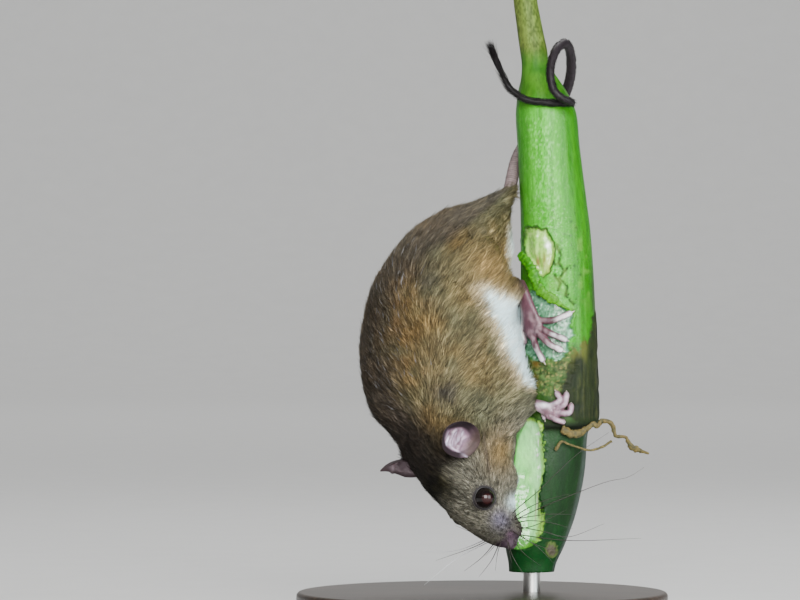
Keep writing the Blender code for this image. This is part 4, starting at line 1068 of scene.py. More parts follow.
def stalk_surface():
    heights, angles = stalk_grid()
    rows = curve_through([(0, 0, z, x, r) for z, x, r in STALK], 600)
    middle = np.interp(heights, rows[:, 2], rows[:, 3])[:, None]
    radius = np.interp(heights, rows[:, 2], rows[:, 4])[:, None]
    z = heights[:, None] + 0 * angles
    shape = z.shape
    flat = np.stack(
        [(middle + radius * np.cos(angles)).ravel(), (radius * np.sin(angles)).ravel(), z.ravel()], 1
    )
    made = SimpleNamespace(x=flat[:, 0].reshape(shape), z=z)
    for name, size, stretch, seed in STALK_NOISES:
        setattr(made, name, wander(flat * np.array(stretch), size, seed).reshape(shape))
    front = ramp(3, -4, flat[:, 1])
    made.front = front.reshape(shape)
    ragged = 0.30 * made.fine.ravel() + 0.30 * made.tooth.ravel()
    for name, outline, rough in TORN_PLACES:
        rough = rough * (1 + 1.6 * ramp(17.0, 19.0, flat[:, 0]) * (name == "cavity"))
        depth = depth_inside(flat[:, 0], flat[:, 2], outline) + rough * ragged
        setattr(made, name, np.where(flat[:, 1] < 2, depth, -9.0).reshape(shape))
    wrap = ramp(39.5, 41.0, flat[:, 0]) * ramp(87.6, 88.6, flat[:, 2])
    wrap = wrap * ramp(126, 120, flat[:, 2]) * ramp(11, 6, flat[:, 1])
    made.sheath = np.maximum(made.sheath, (wrap * 4 - 2).reshape(shape))
    reach = radius + 0.08 * made.streaks + 0.20 * made.lumps
    reach = reach - ramp(-0.1, 0.7, made.tissue) * (0.80 + 0.12 * made.fine + 0.15 * made.grain)
    reach = reach - ramp(0, 0.8, made.bark) * (0.25 + 0.30 * made.tooth + 0.15 * made.fine)
    reach = reach + ramp(-0.6, 1.2, made.sheath) * (0.18 + 0.30 * np.abs(made.thread) + 0.20 * made.grain)
    reach = reach + 0.30 * peak(made.tissue, -0.5, 0.45) * made.front
    made.crack = np.max([crack_at(made, line, 0.42) for line in CRACKS], axis=0)
    made.crack = made.crack * ramp(-0.30, 0.10, made.grain + 0.5 * made.fine)
    reach = reach - 0.30 * made.crack
    hollow = made.hollow
    reach = reach - ramp(-0.15, 0.9, hollow) * 1.15 + 0.55 * ramp(1.2, 3.6, hollow)
    reach = reach + ramp(0.4, 2.0, hollow) * 0.28 * made.streaks
    reach = reach + 0.22 * peak(hollow, -0.45, 0.4)
    cut = bite_depth(reach, middle, angles, z, (14.6, -10.6, 70.5), (7.6, 5.8, 25.0))
    cut = np.maximum(
        cut * ramp(-1.2, 0.3, made.cavity), 0.9 * ramp(-0.2, 1.0, made.cavity) * ramp(11.0, 13.5, made.x)
    )
    reach = reach - cut
    reach = reach + ramp(0.3, 1.4, made.cavity) * (0.32 * made.grain + 0.08 * made.fine)
    reach = reach + 0.28 * peak(made.cavity, -0.4, 0.45)
    points = np.stack([middle + reach * np.cos(angles), reach * np.sin(angles), z], -1)
    made.middle, made.radius = middle + 0 * angles, radius + 0 * angles
    return points, made


# %% Colours of the stalk
def bump_at(made, x, z, wide, tall):
    return hill(made.x, made.z, (x, z), (wide, tall)) * made.front


def crack_at(made, line, width):
    """1 on a wandering crack, falling off over its width."""
    spots = np.stack([made.x + 0.22 * made.fine, made.z + 0.22 * made.dots], -1)
    best = np.full(made.x.shape, 1e9)
    for one, two in zip(line[:-1], line[1:]):
        one, edge = np.array(one), np.subtract(two, one)
        share = np.clip(((spots - one) @ edge) / (edge @ edge), 0, 1)
        best = np.minimum(best, ((spots - one - share[..., None] * edge) ** 2).sum(-1))
    return np.exp(-best / width**2) * made.front


def stalk_colours(made):
    z, x = made.z, made.x
    streaks, grain, fine, tooth, thread = made.streaks, made.grain, made.fine, made.tooth, made.thread
    # painted highlight: a paler band down the middle of the stalk's front, also used on shoulder, stem and
    # lower stem
    painted_lit_band = peak(x - made.middle + 2.0, 0, 0.50 * made.radius) * made.front
    tube = blend(
        (0.020, 0.200, 0.002), (0.046, 0.290, 0.005), np.clip(0.5 + 0.5 * streaks + 0.2 * made.lumps, 0, 1)
    )
    tube = blend(tube, (0.095, 0.540, 0.034), 0.85 * painted_lit_band * np.clip(0.8 + 0.35 * streaks, 0, 1))
    shoulder = blend(
        (0.014, 0.120, 0.002), (0.065, 0.230, 0.008), np.clip(0.35 + 0.45 * grain + 0.3 * painted_lit_band, 0, 1)
    )
    tube = blend(tube, shoulder, ramp(199, 205, z + 1.5 * grain))
    mottled = np.clip(0.35 + 0.6 * fine + 0.5 * made.dots + 0.35 * painted_lit_band, 0, 1)
    stem = blend((0.048, 0.082, 0.008), (0.140, 0.212, 0.032), mottled)
    tube = blend(tube, stem, ramp(214, 223, z + 1.5 * grain))
    tube = blend(tube, (0.040, 0.115, 0.010), 0.75 * ramp(0.62, 0.80, fine) * ramp(115, 150, z))
    for spot_x, spot_z in DARK_SPECKS:
        tube = blend(tube, (0.015, 0.045, 0.008), 0.9 * bump_at(made, spot_x, spot_z, 0.55, 0.50))
    side = (x - made.middle) / made.radius
    # painted shade toward the right side of the tube; the left edge gets a little red and blue
    tube = (
        tube * (1 - 0.26 * ramp(0.15, 0.60, side) * ramp(215, 200, z))[..., None]
        + ramp(-0.25, -0.75, side)[..., None] * np.array((0.010, 0.0, 0.008))
    )
    speck = made.dots + 0.4 * fine
    # specks, cracks and dots of the smooth tube; the pale specks inside the painted lit band are painted
    # glints
    tube = layered(
        tube,
        ((0.300, 0.740, 0.220), 0.50 * ramp(0.20, 0.60, speck) * painted_lit_band * ramp(202, 194, z)),
        ((0.026, 0.260, 0.003), 0.70 * ramp(-0.05, -0.45, speck) * painted_lit_band * ramp(202, 194, z)),
        ((0.008, 0.022, 0.004), np.clip(1.2 * made.crack, 0, 0.95)),
        ((0.030, 0.110, 0.006), 0.75 * ramp(0.50, 0.66, made.dots) * ramp(195, 150, z)),
        ((0.170, 0.360, 0.050), 0.35 * ramp(0.1, 0.7, grain) * ramp(165, 150, z) * ramp(125, 140, z)),
    )
    below = ramp(89.4, 88.4, z + 0.5 * grain)
    # the dark lower stem, with a painted highlight band down its front and a pale right edge that is painted
    # rim light
    lower = layered(
        (0.001, 0.014, 0.001),
        ((0.004, 0.030, 0.003), np.clip(0.5 + 0.5 * streaks + 0.2 * grain, 0, 1)),
        ((0.004, 0.044, 0.006), 0.5 * painted_lit_band),
        ((0.002, 0.040, 0.006), ramp(62, 44, z)),
    )
    lower = lower * (1 + 0.35 * thread * ramp(-0.2, 0.6, grain))[..., None]
    lower = blend(lower, (0.006, 0.048, 0.006), 0.7 * ramp(80, 88, z))
    # painted rim light: a greyish right edge on the lower stem
    lower = blend(lower, (0.040, 0.060, 0.048), 0.75 * ramp(0.84, 0.93, side + 0.03 * streaks))
    # painted shade along the right edge of the tube
    tube = blend(
        tube, (0.022, 0.060, 0.008), 0.85 * ramp(0.84, 0.95, side + 0.05 * grain) * ramp(150, 136, z)
    )
    # the olive stretch below the clean tube
    fade = ramp(124, 110, z + 3 * grain + 2 * tooth)
    olive = blend(
        (0.010, 0.030, 0.006), (0.034, 0.062, 0.014), np.clip(0.5 + 0.6 * streaks + 0.3 * fine, 0, 1)
    )
    tint = blend(tube, olive, 0.92 * fade)
    # rough bark with its rings
    bark = layered(
        (0.018, 0.045, 0.008),
        ((0.120, 0.160, 0.050), np.clip(0.42 + 0.45 * tooth + 0.45 * fine + 0.35 * grain, 0, 1)),
        ((0.040, 0.125, 0.020), 0.45 * ramp(0.0, 0.5, made.lumps + 0.5 * grain)),
        ((0.260, 0.230, 0.070), 0.75 * ramp(0.15, 0.6, made.dots + 0.5 * tooth)),
        (
            (0.200, 0.095, 0.016),
            0.8 * (bump_at(made, 18.6, 110.8, 1.6, 1.4) + bump_at(made, 18.2, 104.5, 1.2, 2.6))
        ),
    )
    for ring_x, ring_z in ((26.2, 102.4), (19.8, 103.4), (31.0, 101.5)):
        away = np.hypot(x - ring_x, (z - ring_z) * 0.8)
        bark = blend(bark, (0.020, 0.035, 0.012), 0.8 * peak(away, 1.6, 0.35))
    bark = blend(bark, (0.010, 0.024, 0.006), 0.75 * ramp(0.35, 0.6, made.tooth - 0.4 * fine - 0.3 * grain))
    tint = blend(tint, bark, 0.9 * ramp(-0.1, 0.5, made.bark))
    # the brown sheath
    brown = layered(
        (0.005, 0.010, 0.002),
        ((0.024, 0.034, 0.007), np.clip(0.45 + 0.25 * thread + 0.35 * streaks + 0.45 * grain, 0, 1)),
        ((0.070, 0.072, 0.022), 0.30 * ramp(0.30, 0.80, thread + 0.6 * fine)),
        ((0.150, 0.165, 0.026), 0.75 * ramp(110, 116, z + 2 * grain) * ramp(37.5, 35.0, x + grain)),
    )
    tint = blend(tint, brown, 0.95 * ramp(-0.5, 0.5, made.sheath))
    # wet tissue where the skin is torn away; its pale dots are painted glints
    mottled = np.clip(0.45 + 0.5 * grain + 0.4 * fine + 0.5 * made.dots, 0, 1)
    wet = blend((0.034, 0.125, 0.054), (0.150, 0.350, 0.210), mottled)
    wet = blend(wet, (0.50, 0.72, 0.56), 0.7 * ramp(0.55, 0.80, made.dots + 0.35 * fine))
    tint = blend(tint, wet, ramp(-0.1, 0.35, made.tissue))
    rim = peak(made.tissue, 0.05, 0.30)
    tint = layered(
        tint,
        ((0.015, 0.050, 0.012), 0.55 * rim * ramp(-0.1, 0.5, tooth)),
        ((0.060, 0.035, 0.015), 0.85 * bump_at(made, 31.0, 129.0, 1.2, 0.8)),
        (lower, below),
    )
    # the white flesh of the gnawed cavity
    flesh = layered(
        (0.130, 0.520, 0.100),
        ((0.360, 0.840, 0.330), ramp(11.0, 16.0, x + 1.2 * grain)),
        ((0.420, 0.680, 0.150), 0.75 * ramp(17.6, 19.6, x + 0.9 * grain)),
        ((0.240, 0.680, 0.160), 0.6 * np.clip(0.2 + 0.9 * grain, 0, 1) * ramp(86, 78, z)),
    )
    # painted highlights: white glints down the middle of the cavity
    glint = ramp(-0.25, 0.35, fine + 0.6 * tooth)
    for spot_x, spot_z, tall in ((17.2, 86.0, 3.2), (16.6, 79.5, 3.0), (17.0, 73.0, 2.6)):
        glint_share = np.clip(1.3 * glint * bump_at(made, spot_x, spot_z, 1.05, tall), 0, 1)
        flesh = blend(flesh, (0.960, 1.000, 0.960), glint_share)
    margin = ramp(1.9, 0.9, made.cavity + 0.35 * fine) * ramp(12.5, 14.5, x)
    flesh = blend(flesh, (0.300, 0.500, 0.070), 0.9 * margin)
    margin = 0.8 * ramp(0.7, 0.2, made.cavity + 0.3 * tooth) * ramp(12.5, 14.5, x)
    flesh = blend(flesh, (0.130, 0.330, 0.030), margin)
    for streak in (((15.6, 67.0), (16.3, 62.0), (17.3, 56.0)), ((17.3, 64.7), (18.4, 61.0), (19.3, 57.0))):
        line = np.array(streak)
        where = np.interp(z, line[::-1, 1], line[::-1, 0])
        mark = peak(x - where + 0.2 * tooth, 0, 0.42)
        mark = mark * ramp(line[2, 1] - 1, line[2, 1] + 1, z) * ramp(line[0, 1] + 1, line[0, 1] - 1, z)
        flesh = blend(flesh, (0.050, 0.050, 0.018), 0.85 * mark)
    flesh = blend(flesh, (0.720, 0.740, 0.470), 0.7 * bump_at(made, 17.2, 60.5, 0.45, 4.5))
    flesh = blend(flesh, (0.045, 0.230, 0.015), 0.85 * ramp(51.5, 48.5, z + 0.25 * (x - 16) + 0.6 * grain))
    tint = layered(
        tint,
        (flesh, ramp(-0.15, 0.25, made.cavity)),
        # painted shadow: a dark green line just outside the cavity's rim
        ((0.010, 0.055, 0.008), 0.8 * peak(made.cavity, -0.25, 0.28) * ramp(12.5, 14.5, x)),
        (
            (0.014, 0.034, 0.006),
            0.85 * ramp(92.5, 90.0, z + grain) * ramp(87.0, 88.4, z) * ramp(-0.3, -0.8, made.cavity)
        ),
    )
    # the upper hollow
    pit = layered(
        (0.130, 0.400, 0.030),
        ((0.340, 0.580, 0.130), np.clip(0.5 + 0.5 * fine + 0.3 * grain, 0, 1)),
        ((0.450, 0.520, 0.110), 0.60 * bump_at(made, 22.2, 145.6, 2.2, 4.0)),
        (
            (0.140, 0.062, 0.018),
            0.95 * (bump_at(made, 18.8, 146.3, 0.7, 2.2) + 0.7 * bump_at(made, 21.2, 147.0, 0.45, 2.6))
        ),
        # a painted highlight: a white glint in the hollow
        ((0.900, 0.940, 0.860), bump_at(made, 22.4, 151.9, 0.9, 0.8)),
    )
    tint = blend(tint, pit, ramp(-0.1, 0.3, made.hollow))
    upper = ramp(153, 156.5, z + 0.8 * tooth)
    edge = peak(made.hollow, 0.25 * upper, 0.26 + 0.30 * upper)
    tint = blend(tint, (0.012, 0.045, 0.008), 0.9 * edge)
    # the round scar low on the stem
    spot = np.sqrt(((x - 24.1) / 2.1) ** 2 + ((z - 45.9 + 0.2 * (x - 24.1)) / 2.7) ** 2) + 0.22 * fine
    spot = spot + 5 * (1 - made.front)
    tint = blend(tint, (0.110, 0.150, 0.040), 0.8 * ramp(1.20, 0.95, spot))
    scar = blend((0.045, 0.040, 0.026), (0.110, 0.095, 0.066), np.clip(0.5 + 0.6 * fine, 0, 1))
    tint = blend(tint, scar, ramp(0.88, 0.68, spot))
    # painted shade: a darker band under the torn step near 89 mm, outside the cavity
    tint = tint * (1 - 0.80 * peak(z, 89.0, 1.7) * ramp(0, -0.6, made.cavity))[..., None]
    torn = ramp(-0.2, 0.3, np.maximum(made.cavity, np.maximum(made.tissue, made.hollow)))
    tint = tint * (1 - 0.25 * ramp(-0.3, 0.3, made.sheath))[..., None]
    return np.clip(tint * (0.87 + 0.25 * torn)[..., None], 0, 1)


def stalk_gloss(made):
    """Roughness of the stalk: wet in the fresh bites, waxy on the skin, dull on the dry sheath."""
    rough = 0.36 + 0.06 * made.grain
    rough = np.where(made.tissue > 0, 0.25, rough)
    rough = rough + 0.30 * np.maximum(ramp(0, 0.5, made.sheath), ramp(0, 0.5, made.bark))
    rough = rough + 0.14 * ramp(91, 86, made.z) + 0.30 * ramp(92.5, 91, made.z) * ramp(87, 88, made.z)
    rough = rough + 0.40 * made.crack + 0.24 * ramp(205, 214, made.z)
    rough = rough * (1 - 0.60 * ramp(0, 0.6, made.cavity)) * (1 - 0.45 * ramp(0, 0.6, made.hollow))
    return np.repeat(np.clip(rough, 0.1, 0.8).reshape(-1, 1), 3, axis=1)


stalk_finish = new_finish(
    "stalk_skin", 0.36, [(900, 5.0, 0.22, 0.0002, (1.0, 1.0, 0.10)), (1500, 4.0, 0.45, 0.0003)],
    (1100, 4.0, 0.80, 1.16, (1.0, 1.0, 0.22)), gloss=True, Subsurface_Weight=0.05, Subsurface_Scale=0.001,
    Subsurface_Radius=(0.5, 1.0, 0.3), Specular_IOR_Level=0.20, Coat_Roughness=0.10, Coat_IOR=1.75,
)


def wet_film(finish):
    """A clear wet coat over whatever is glossy."""
    tree, shader = finish.node_tree, finish.node_tree.nodes["Principled BSDF"]
    rough = shader.inputs["Roughness"].links[0].from_socket
    tree.links.new(map_range(tree, rough, 0.16, 0.30, 1.0, 0.0), shader.inputs["Coat Weight"])


wet_film(stalk_finish)
stalk_points, stalk_zones = stalk_surface()
stalk_ends = [stalk_points[0].mean(0), stalk_points[-1].mean(0)]
stalk_all = np.vstack([stalk_points.reshape(-1, 3), stalk_ends])
tints = np.vstack([stalk_colours(stalk_zones).reshape(-1, 3), [[0.42, 0.55, 0.30], [0.42, 0.50, 0.28]]])
stalk = add_piece("gnawed_stalk", stalk_all, ring_faces(*stalk_points.shape[:2]), stalk_finish, tints)
paint(stalk.data, np.vstack([stalk_gloss(stalk_zones), [[0.6] * 3, [0.6] * 3]]), "gloss")
settle(stalk, "stalk", "stalk")
print("stalk faces:", len(stalk.data.polygons))

# %% [markdown]
# ## Feet and claws
# The feet are naked, pink and thin-skinned. Long toes wrap the stalk, each with knuckles, a soft
# pad at its end and a small curved claw. Tubes and balls are set along the same lines as the
# solids, melted together with a fine voxel remesh, and smoothed so that no joint shows.

# %% Feet
HIND_SOLE = (
    (13.0, 139.2, 1.8, 1.7, 0.9), (14.1, 136.0, 2.4, 1.8, 0.6), (16.0, 129.0, 3.4, 1.6, 0.3),
    (17.8, 123.0, 4.0, 1.4, 0.1), (19.0, 120.2, 3.0, 1.2, 0.0),
)
HIND_TOES = (
    (1.05, 0.90, ((14.6, 127.5, 0.3), (14.3, 122.0, 0.3), (14.6, 118.0, 0.0))),
    (1.15, 1.00, ((17.2, 121.5, 0.3), (18.6, 116.5, 0.9), (21.0, 112.0, 0.0))),
    (1.20, 1.02, ((18.8, 122.0, 0.3), (23.4, 117.6, 1.0), (27.3, 115.6, 0.0))),
    (1.20, 1.02, ((19.2, 123.6, 0.3), (24.0, 121.2, 1.0), (28.8, 119.2, 0.0))),
    (1.20, 0.95, ((18.0, 127.0, 0.3), (20.4, 125.9, 0.3), (25.0, 126.2, 0.9), (30.6, 128.6, 0.0))),
)
HAND_PALM = (
    (18.0, 96.8, 1.9, 1.9, 0.8), (20.4, 96.0, 2.2, 1.6, 0.4), (23.4, 94.6, 2.7, 1.4, 0.2),
    (25.8, 94.0, 2.2, 1.1, 0.1),
)
HAND_FINGERS = (
    (1.10, 0.95, ((22.2, 95.8, 0.5), (26.6, 98.2, 1.5), (25.6, 100.9, 0.0))),
    (1.12, 1.00, ((24.8, 95.2, 0.5), (28.2, 97.0, 1.5), (29.0, 100.5, 0.0))),
    (1.15, 1.00, ((25.0, 93.8, 0.5), (29.8, 94.0, 1.5), (30.6, 96.6, 0.0))),
    (1.10, 0.90, ((23.2, 92.8, 0.4), (26.0, 91.3, 1.2), (28.0, 90.7, 0.0))),
    (0.80, 0.60, ((20.6, 94.4, 0.2), (21.4, 91.8, 0.2))),
)
TOE_POINTS = 26
CLAW_POINTS = 12
FOOT_VOXEL = 0.24
foot_finish = new_finish(
    "bare_foot", 0.38, [(1700, 4.0, 0.55, 0.00022)], (700, 4.0, 0.78, 1.15),
    Subsurface_Weight=0.12, Subsurface_Scale=0.0006, Subsurface_Radius=(1.0, 0.3, 0.2),
)
claw_finish = new_finish("claw_horn", 0.3, mottling=(2500, 3.0, 0.85, 1.1))


def off_the_stalk(places):
    """Level directions from the stalk's middle line out to the places."""
    return np.stack([places[:, 0] - stalk_at(places[:, 2])[0], places[:, 1], 0 * places[:, 0]], 1)


def foot_forms(sole, digits, side, shift):
    """The sole and the toes as tubes and balls, with the tip and the line of each toe."""
    rows = curve_through([(x, 0, z + shift, w, t, lift) for x, z, w, t, lift in sole], 22)
    centres = np.array([on_stalk(r[0], r[2], r[4] + 0.3 + r[5], side) for r in rows])
    across = np.cross(off_the_stalk(centres), np.gradient(centres, axis=0))
    parts = [tube_arrays(centres, rows[:, 3], rows[:, 4], (1, 0, 0), 24, across)]
    tips, lines = [], []
    share = np.linspace(0, 1, TOE_POINTS)
    knuckles = 0.10 * peak(share, 0.42, 0.08) + 0.16 * peak(share, 0.90, 0.09)
    for root_radius, tip_radius, spots in digits:
        line = curve_through([(x, 0, z + shift, lift) for x, z, lift in spots], TOE_POINTS)
        sizes = (root_radius + (tip_radius - root_radius) * share) * (1.06 + knuckles)
        sizes[-1] *= 0.72
        places = np.array([on_stalk(r[0], r[2], s + 0.25 + r[3], side) for r, s in zip(line, sizes)])
        parts.append(tube_arrays(places, sizes, sizes * 0.94, (0, 0, 1), 16))
        for place, radius in ((places[0], root_radius * 1.25), (places[-2], tip_radius * 1.12)):
            parts.append(ball_arrays(place, [radius] * 3, None, 16, 10))
        tips.append((places[-1], unit(places[-1] - places[-4])))
        lines.append(places)
    return parts, tips, lines


def foot_tints(name, points, lines, shift):
    toe_share = np.zeros(len(points))
    for places in lines:
        for i, place in enumerate(places):
            near = np.exp(-((points - place) ** 2).sum(1) / 1.4)
            toe_share = np.maximum(toe_share, near * (i / len(places)))
    rough = wander(points, 1.3, 41)
    vein = wander(points * np.array((1, 1, 0.4)), 1.0, 43)
    x, z = points[:, 0], points[:, 2] - shift
    if "hind" in name:
        tint = blend(
            (0.062, 0.026, 0.034), (0.230, 0.140, 0.160), np.clip(0.34 + 0.3 * rough + 0.8 * vein, 0, 1)
        )
        tint = blend(tint, (0.80, 0.76, 0.78), ramp(0.14, 0.46, toe_share + 0.10 * rough))
        pale = peak(x, np.interp(z, (119, 131.5), (13.9, 13.0)), 0.55) * ramp(134, 130, z)
        tint = blend(tint, (0.62, 0.57, 0.56), 0.8 * pale)
        tint = blend(tint, (0.040, 0.024, 0.028), 0.85 * ramp(131, 137, z))
    else:
        tint = layered(
            (0.36, 0.25, 0.31),
            ((0.12, 0.050, 0.075), np.clip(0.46 + 0.8 * rough + 0.5 * vein, 0, 1)),
            ((0.50, 0.39, 0.46), 0.80 * ramp(0.10, 0.45, toe_share + 0.18 * rough)),
            ((0.74, 0.74, 0.80), np.clip(1.1 * hill(x, z, (21.0, 97.2), (2.4, 1.3)), 0, 0.9)),
            # painted shadow: a dark patch below the pale wrist
            ((0.13, 0.070, 0.085), 0.7 * hill(x, z, (21.6, 93.8), (2.0, 0.9))),
        )
    bones = np.concatenate(lines)
    bone = bones[((points[:, None] - bones[None]) ** 2).sum(2).argmin(1)]
    # painted shade: the digits are darker wherever their skin does not face away from the stalk, on their
    # sides and between them
    ridge = (unit(points - bone) * unit(off_the_stalk(bone))).sum(1)
    return blend(tint, (0.085, 0.028, 0.044), 0.85 * ramp(0.93, 0.40, ridge + 0.12 * rough))


def make_foot(name, node, sole, digits, side, shift):
    parts, tips, lines = foot_forms(sole, digits, side, shift)
    foot = melt(add_piece(name, *join_arrays(parts), foot_finish), FOOT_VOXEL, 4)
    paint(foot.data, foot_tints(name, to_local(points_of(foot.data)), lines, shift))
    foot.data.shade_smooth()
    settle(foot, "skin", node)
    horns = []
    lean = np.array((0, -side * 1.0, 0))
    for tip, ahead in tips:
        steps = ((-0.5, 0.0), (0.6, -0.15), (1.5, 0.15), (2.1, 0.75))
        line = curve_through([tip + ahead * far + lean * bent for far, bent in steps], CLAW_POINTS)
        sizes = np.linspace(0.42, 0.06, CLAW_POINTS)
        horns.append(tube_arrays(line, sizes, sizes * 0.8, (0, 0, 1), 10))
    points, faces = join_arrays(horns)
    tint = blend((0.50, 0.42, 0.38), (0.62, 0.56, 0.50), np.clip(0.5 + wander(points, 0.7, 42), 0, 1))
    settle(add_piece(name + "_claws", points, faces, claw_finish, tint), "skin")


for word, side, drop, lift in LIMB_SIDES:
    make_foot("hind_foot_" + word, "hindfoot_" + word, HIND_SOLE, HIND_TOES, side, drop)
    make_foot("hand_" + word, "forefoot_" + word, HAND_PALM, HAND_FINGERS, side, lift)
print("four feet made")

# %% [markdown]
# ## The tail
# The long tail helps the mouse climb: it winds around the stem and ends in a pencil of dark hairs.
# Its skin has fine rings of scales with short stiff hairs between them. One smooth tube follows
# the line of the solids, its radius rippled ring by ring, and small tufts lie along it.

# %% Tail
TAIL_LINE = (
    (8.9, 0.5, 168.6), (10.1, 2.2, 173.2), (11.9, 7.8, 181.0), (15.0, 13.4, 187.6), (21.0, 18.0, 194.0),
    (28.0, 17.5, 202.5), (31.2, 12.0, 211.0), (31.2, 4.0, 219.0), (28.9, -3.5, 222.6), (25.4, -10.4, 219.5),
    (23.5, -14.4, 213.0), (24.2, -16.4, 206.6), (27.0, -16.6, 203.2), (29.8, -15.2, 202.0),
    (31.0, -12.5, 201.5), (29.6, -10.3, 201.4), (26.5, -11.0, 201.5), (22.3, -12.1, 201.6),
    (15.5, -11.2, 202.6), (10.4, -9.6, 205.8), (7.4, -9.0, 210.2), (5.4, -9.2, 215.0),
)
TAIL_ROOT_RADIUS = 2.3
TAIL_TIP_RADIUS = 0.9
TAIL_ROWS, TAIL_SIDES = 560, 24
SCALE_RING = 0.85
tail_line = curve_through(TAIL_LINE, TAIL_ROWS)
tail_ahead = unit(np.gradient(tail_line, axis=0))
tail_run = np.concatenate([[0], np.cumsum(np.linalg.norm(np.diff(tail_line, axis=0), axis=1))])
tail_share = tail_run / tail_run[-1]
tail_radius = TAIL_ROOT_RADIUS + (TAIL_TIP_RADIUS - TAIL_ROOT_RADIUS) * tail_share**0.9
tail_radius = tail_radius * (1 - 0.5 * ramp(0.94, 1.0, tail_share))
ripple = 0.045 * np.abs(np.sin(math.pi * tail_run / SCALE_RING)) - 0.03
sizes = tail_radius + ripple
tail_points, tail_faces = tube_arrays(tail_line, sizes, sizes, (0, 1, 0.1), TAIL_SIDES)
ring_share = np.concatenate([np.repeat(tail_share, TAIL_SIDES), [0, 1]])
tail_tint = blend((0.22, 0.165, 0.165), (0.020, 0.014, 0.018), ramp(0.10, 0.30, ring_share))
tail_tint = blend(tail_tint, (0.006, 0.005, 0.006), ramp(0.45, 0.9, ring_share))
# painted shade in the grooves between the scale rings; the rest is lightened a little
scale_groove_shade = np.concatenate([np.repeat(ripple < 0.0, TAIL_SIDES), [0, 0]])
tail_tint = tail_tint * np.where(scale_groove_shade, 0.6, 1.1)[:, None]
tail_finish = new_finish(
    "tail_scales", 0.5, [(1900, 4.0, 0.5, 0.00015)], (900, 3.0, 0.75, 1.2), Specular_IOR_Level=0.25
)
tail = add_piece("scaly_tail", tail_points, tail_faces, tail_finish, tail_tint)
settle(tail, "tail", *[f"tail_{i}" for i in range(1, 6)])
print("tail length in mm:", round(float(tail_run[-1]), 1))

# %% [markdown]
# ## The coat
# A tuft stands for a small lock of hairs. It is a thin three-sided spike with a bend: it leaves the
# skin at a slant and then lies along the body, toward the tail. A quarter of a million of them, each
# dark at the root and ochre or black at the tip, give the salt-and-pepper look of the real coat.
# They are short and fine on the face, and longest on the back and rump.

# %% How the hair lies
def hair_angle(points):
    """The lie of the hair seen from the side, in degrees from the level line: it fans out from the neck."""
    x, _, z = points.T
    back, _, _ = head_place(points)
    middle = np.interp(z, (100, 126, 134, 143, 151, 160), (-17.5, -17.5, -24, -26, -39, -55))
    trunk = 90 + np.interp(z, (100, 118, 126, 151), (50, 48, 40, 45)) * np.tanh((middle - x) / 6.3)
    head = 122 + 38 * np.tanh((NOSE_TIP[0] - 0.483 * (z - NOSE_TIP[2]) - x) / 6)
    on_head = ramp(46, 32, back)
    return trunk * (1 - on_head) + head * on_head


LEAN_STEP = 20


def streaks(points, angle, wide, length, seed):
    """Noise drawn out along the lie of the hair, so that the hairs of one lock share a tone."""
    total = np.zeros(len(points))
    for turn in range(0, 180, LEAN_STEP):
        near = 1 - np.abs((angle - turn + 90) % 180 - 90) / LEAN_STEP
        mine = np.flatnonzero(near > 0)
        if len(mine):
            x, y, z = points[mine].T
            lean = math.radians(turn)
            along, across = x * math.cos(lean) + z * math.sin(lean), z * math.cos(lean) - x * math.sin(lean)
            flat = np.stack([along / length, across / wide, y / (1.5 * wide)], 1)
            total[mine] += near[mine] * wander(flat, 1.0, seed + turn)
    return total


# Where the limbs leave the coat
LIMB_ROOTS = ((13.0, -11.0, 140.5), (13.0, 11.0, 137.5), (18.0, -14.2, 96.6), (18.0, 14.2, 98.7))


def hair_lie(points, normals):
    """Unit directions along the skin, from nose to tail, fanned out from the neck."""
    back, left, _ = head_place(points)
    share, belly = trunk_place(points)
    spine = np.stack(
        [np.interp(share, np.linspace(0, 1, len(SPINE)), SPINE_AHEAD[:, k]) for k in range(3)], 1
    )
    sweep = np.clip(1 - np.abs(belly + 0.1), 0.1, 1) * ramp(88, 104, points[:, 2])
    flow = spine + np.array((0.42, 0.0, 0.0)) * sweep[:, None]
    on_head = ramp(52, 30, back)[:, None]
    spread = unit(-FORWARD + LEFT * (0.22 * np.sign(left))[:, None] * ramp(30, 6, back)[:, None] - UP * 0.15)
    flow = flow * (1 - on_head) + spread * on_head
    angle = np.radians(hair_angle(points))
    fan = np.stack([np.cos(angle), 0 * angle, np.sin(angle)], 1)
    flow = flow * 0.35 + fan * (1.3 * ramp(14, 6, points[:, 0] - 6 * on_head[:, 0]))[:, None]
    turned_by = [(spot, 0.9, 5.5) for spot in eye_spots.values()] + [(root, 0.6, 6.0) for root in ear_roots]
    for spot, much, size in turned_by + [(np.array(spot), -1.1, 9.0) for spot in LIMB_ROOTS]:
        offset = points - spot
        flow = flow + unit(offset) * (much * peak(np.linalg.norm(offset, axis=1), 0, size))[:, None]
    for k, size, much in ((51, 7.0, 0.20), (52, 2.6, 0.16), (53, 1.2, 0.16)):
        flow = flow + np.stack([wander(points, size, k + 10 * j) for j in range(3)], 1) * much
    return unit(flow - normals * (flow * normals).sum(1, keepdims=True))


def hair_size(points):
    """Length and half-thickness of a tuft in millimetres."""
    back, _, _ = head_place(points)
    on_head = np.interp(back, (1.5, 5, 10, 16, 24, 34, 50), (0.45, 0.8, 1.4, 2.0, 2.8, 3.9, 5.6))
    length = np.where(back < 50, on_head, 5.8)
    length = length * np.interp(points[:, 2], (120, 150, 170), (1.0, 1.08, 1.15))
    thick = np.where(
        back < 50, np.interp(back, (1.5, 8, 16, 26, 50), (0.055, 0.085, 0.11, 0.135, 0.17)), 0.175
    )
    for spot in eye_spots.values():
        length = np.minimum(length, np.interp(away_from(points, spot), (3.9, 5.5, 9.0), (0.6, 1.3, 6.0)))
    for spot in LIMB_ROOTS:
        length = np.minimum(length, np.interp(away_from(points, np.array(spot)), (2.0, 8.0), (1.6, 6.0)))
    return length, thick


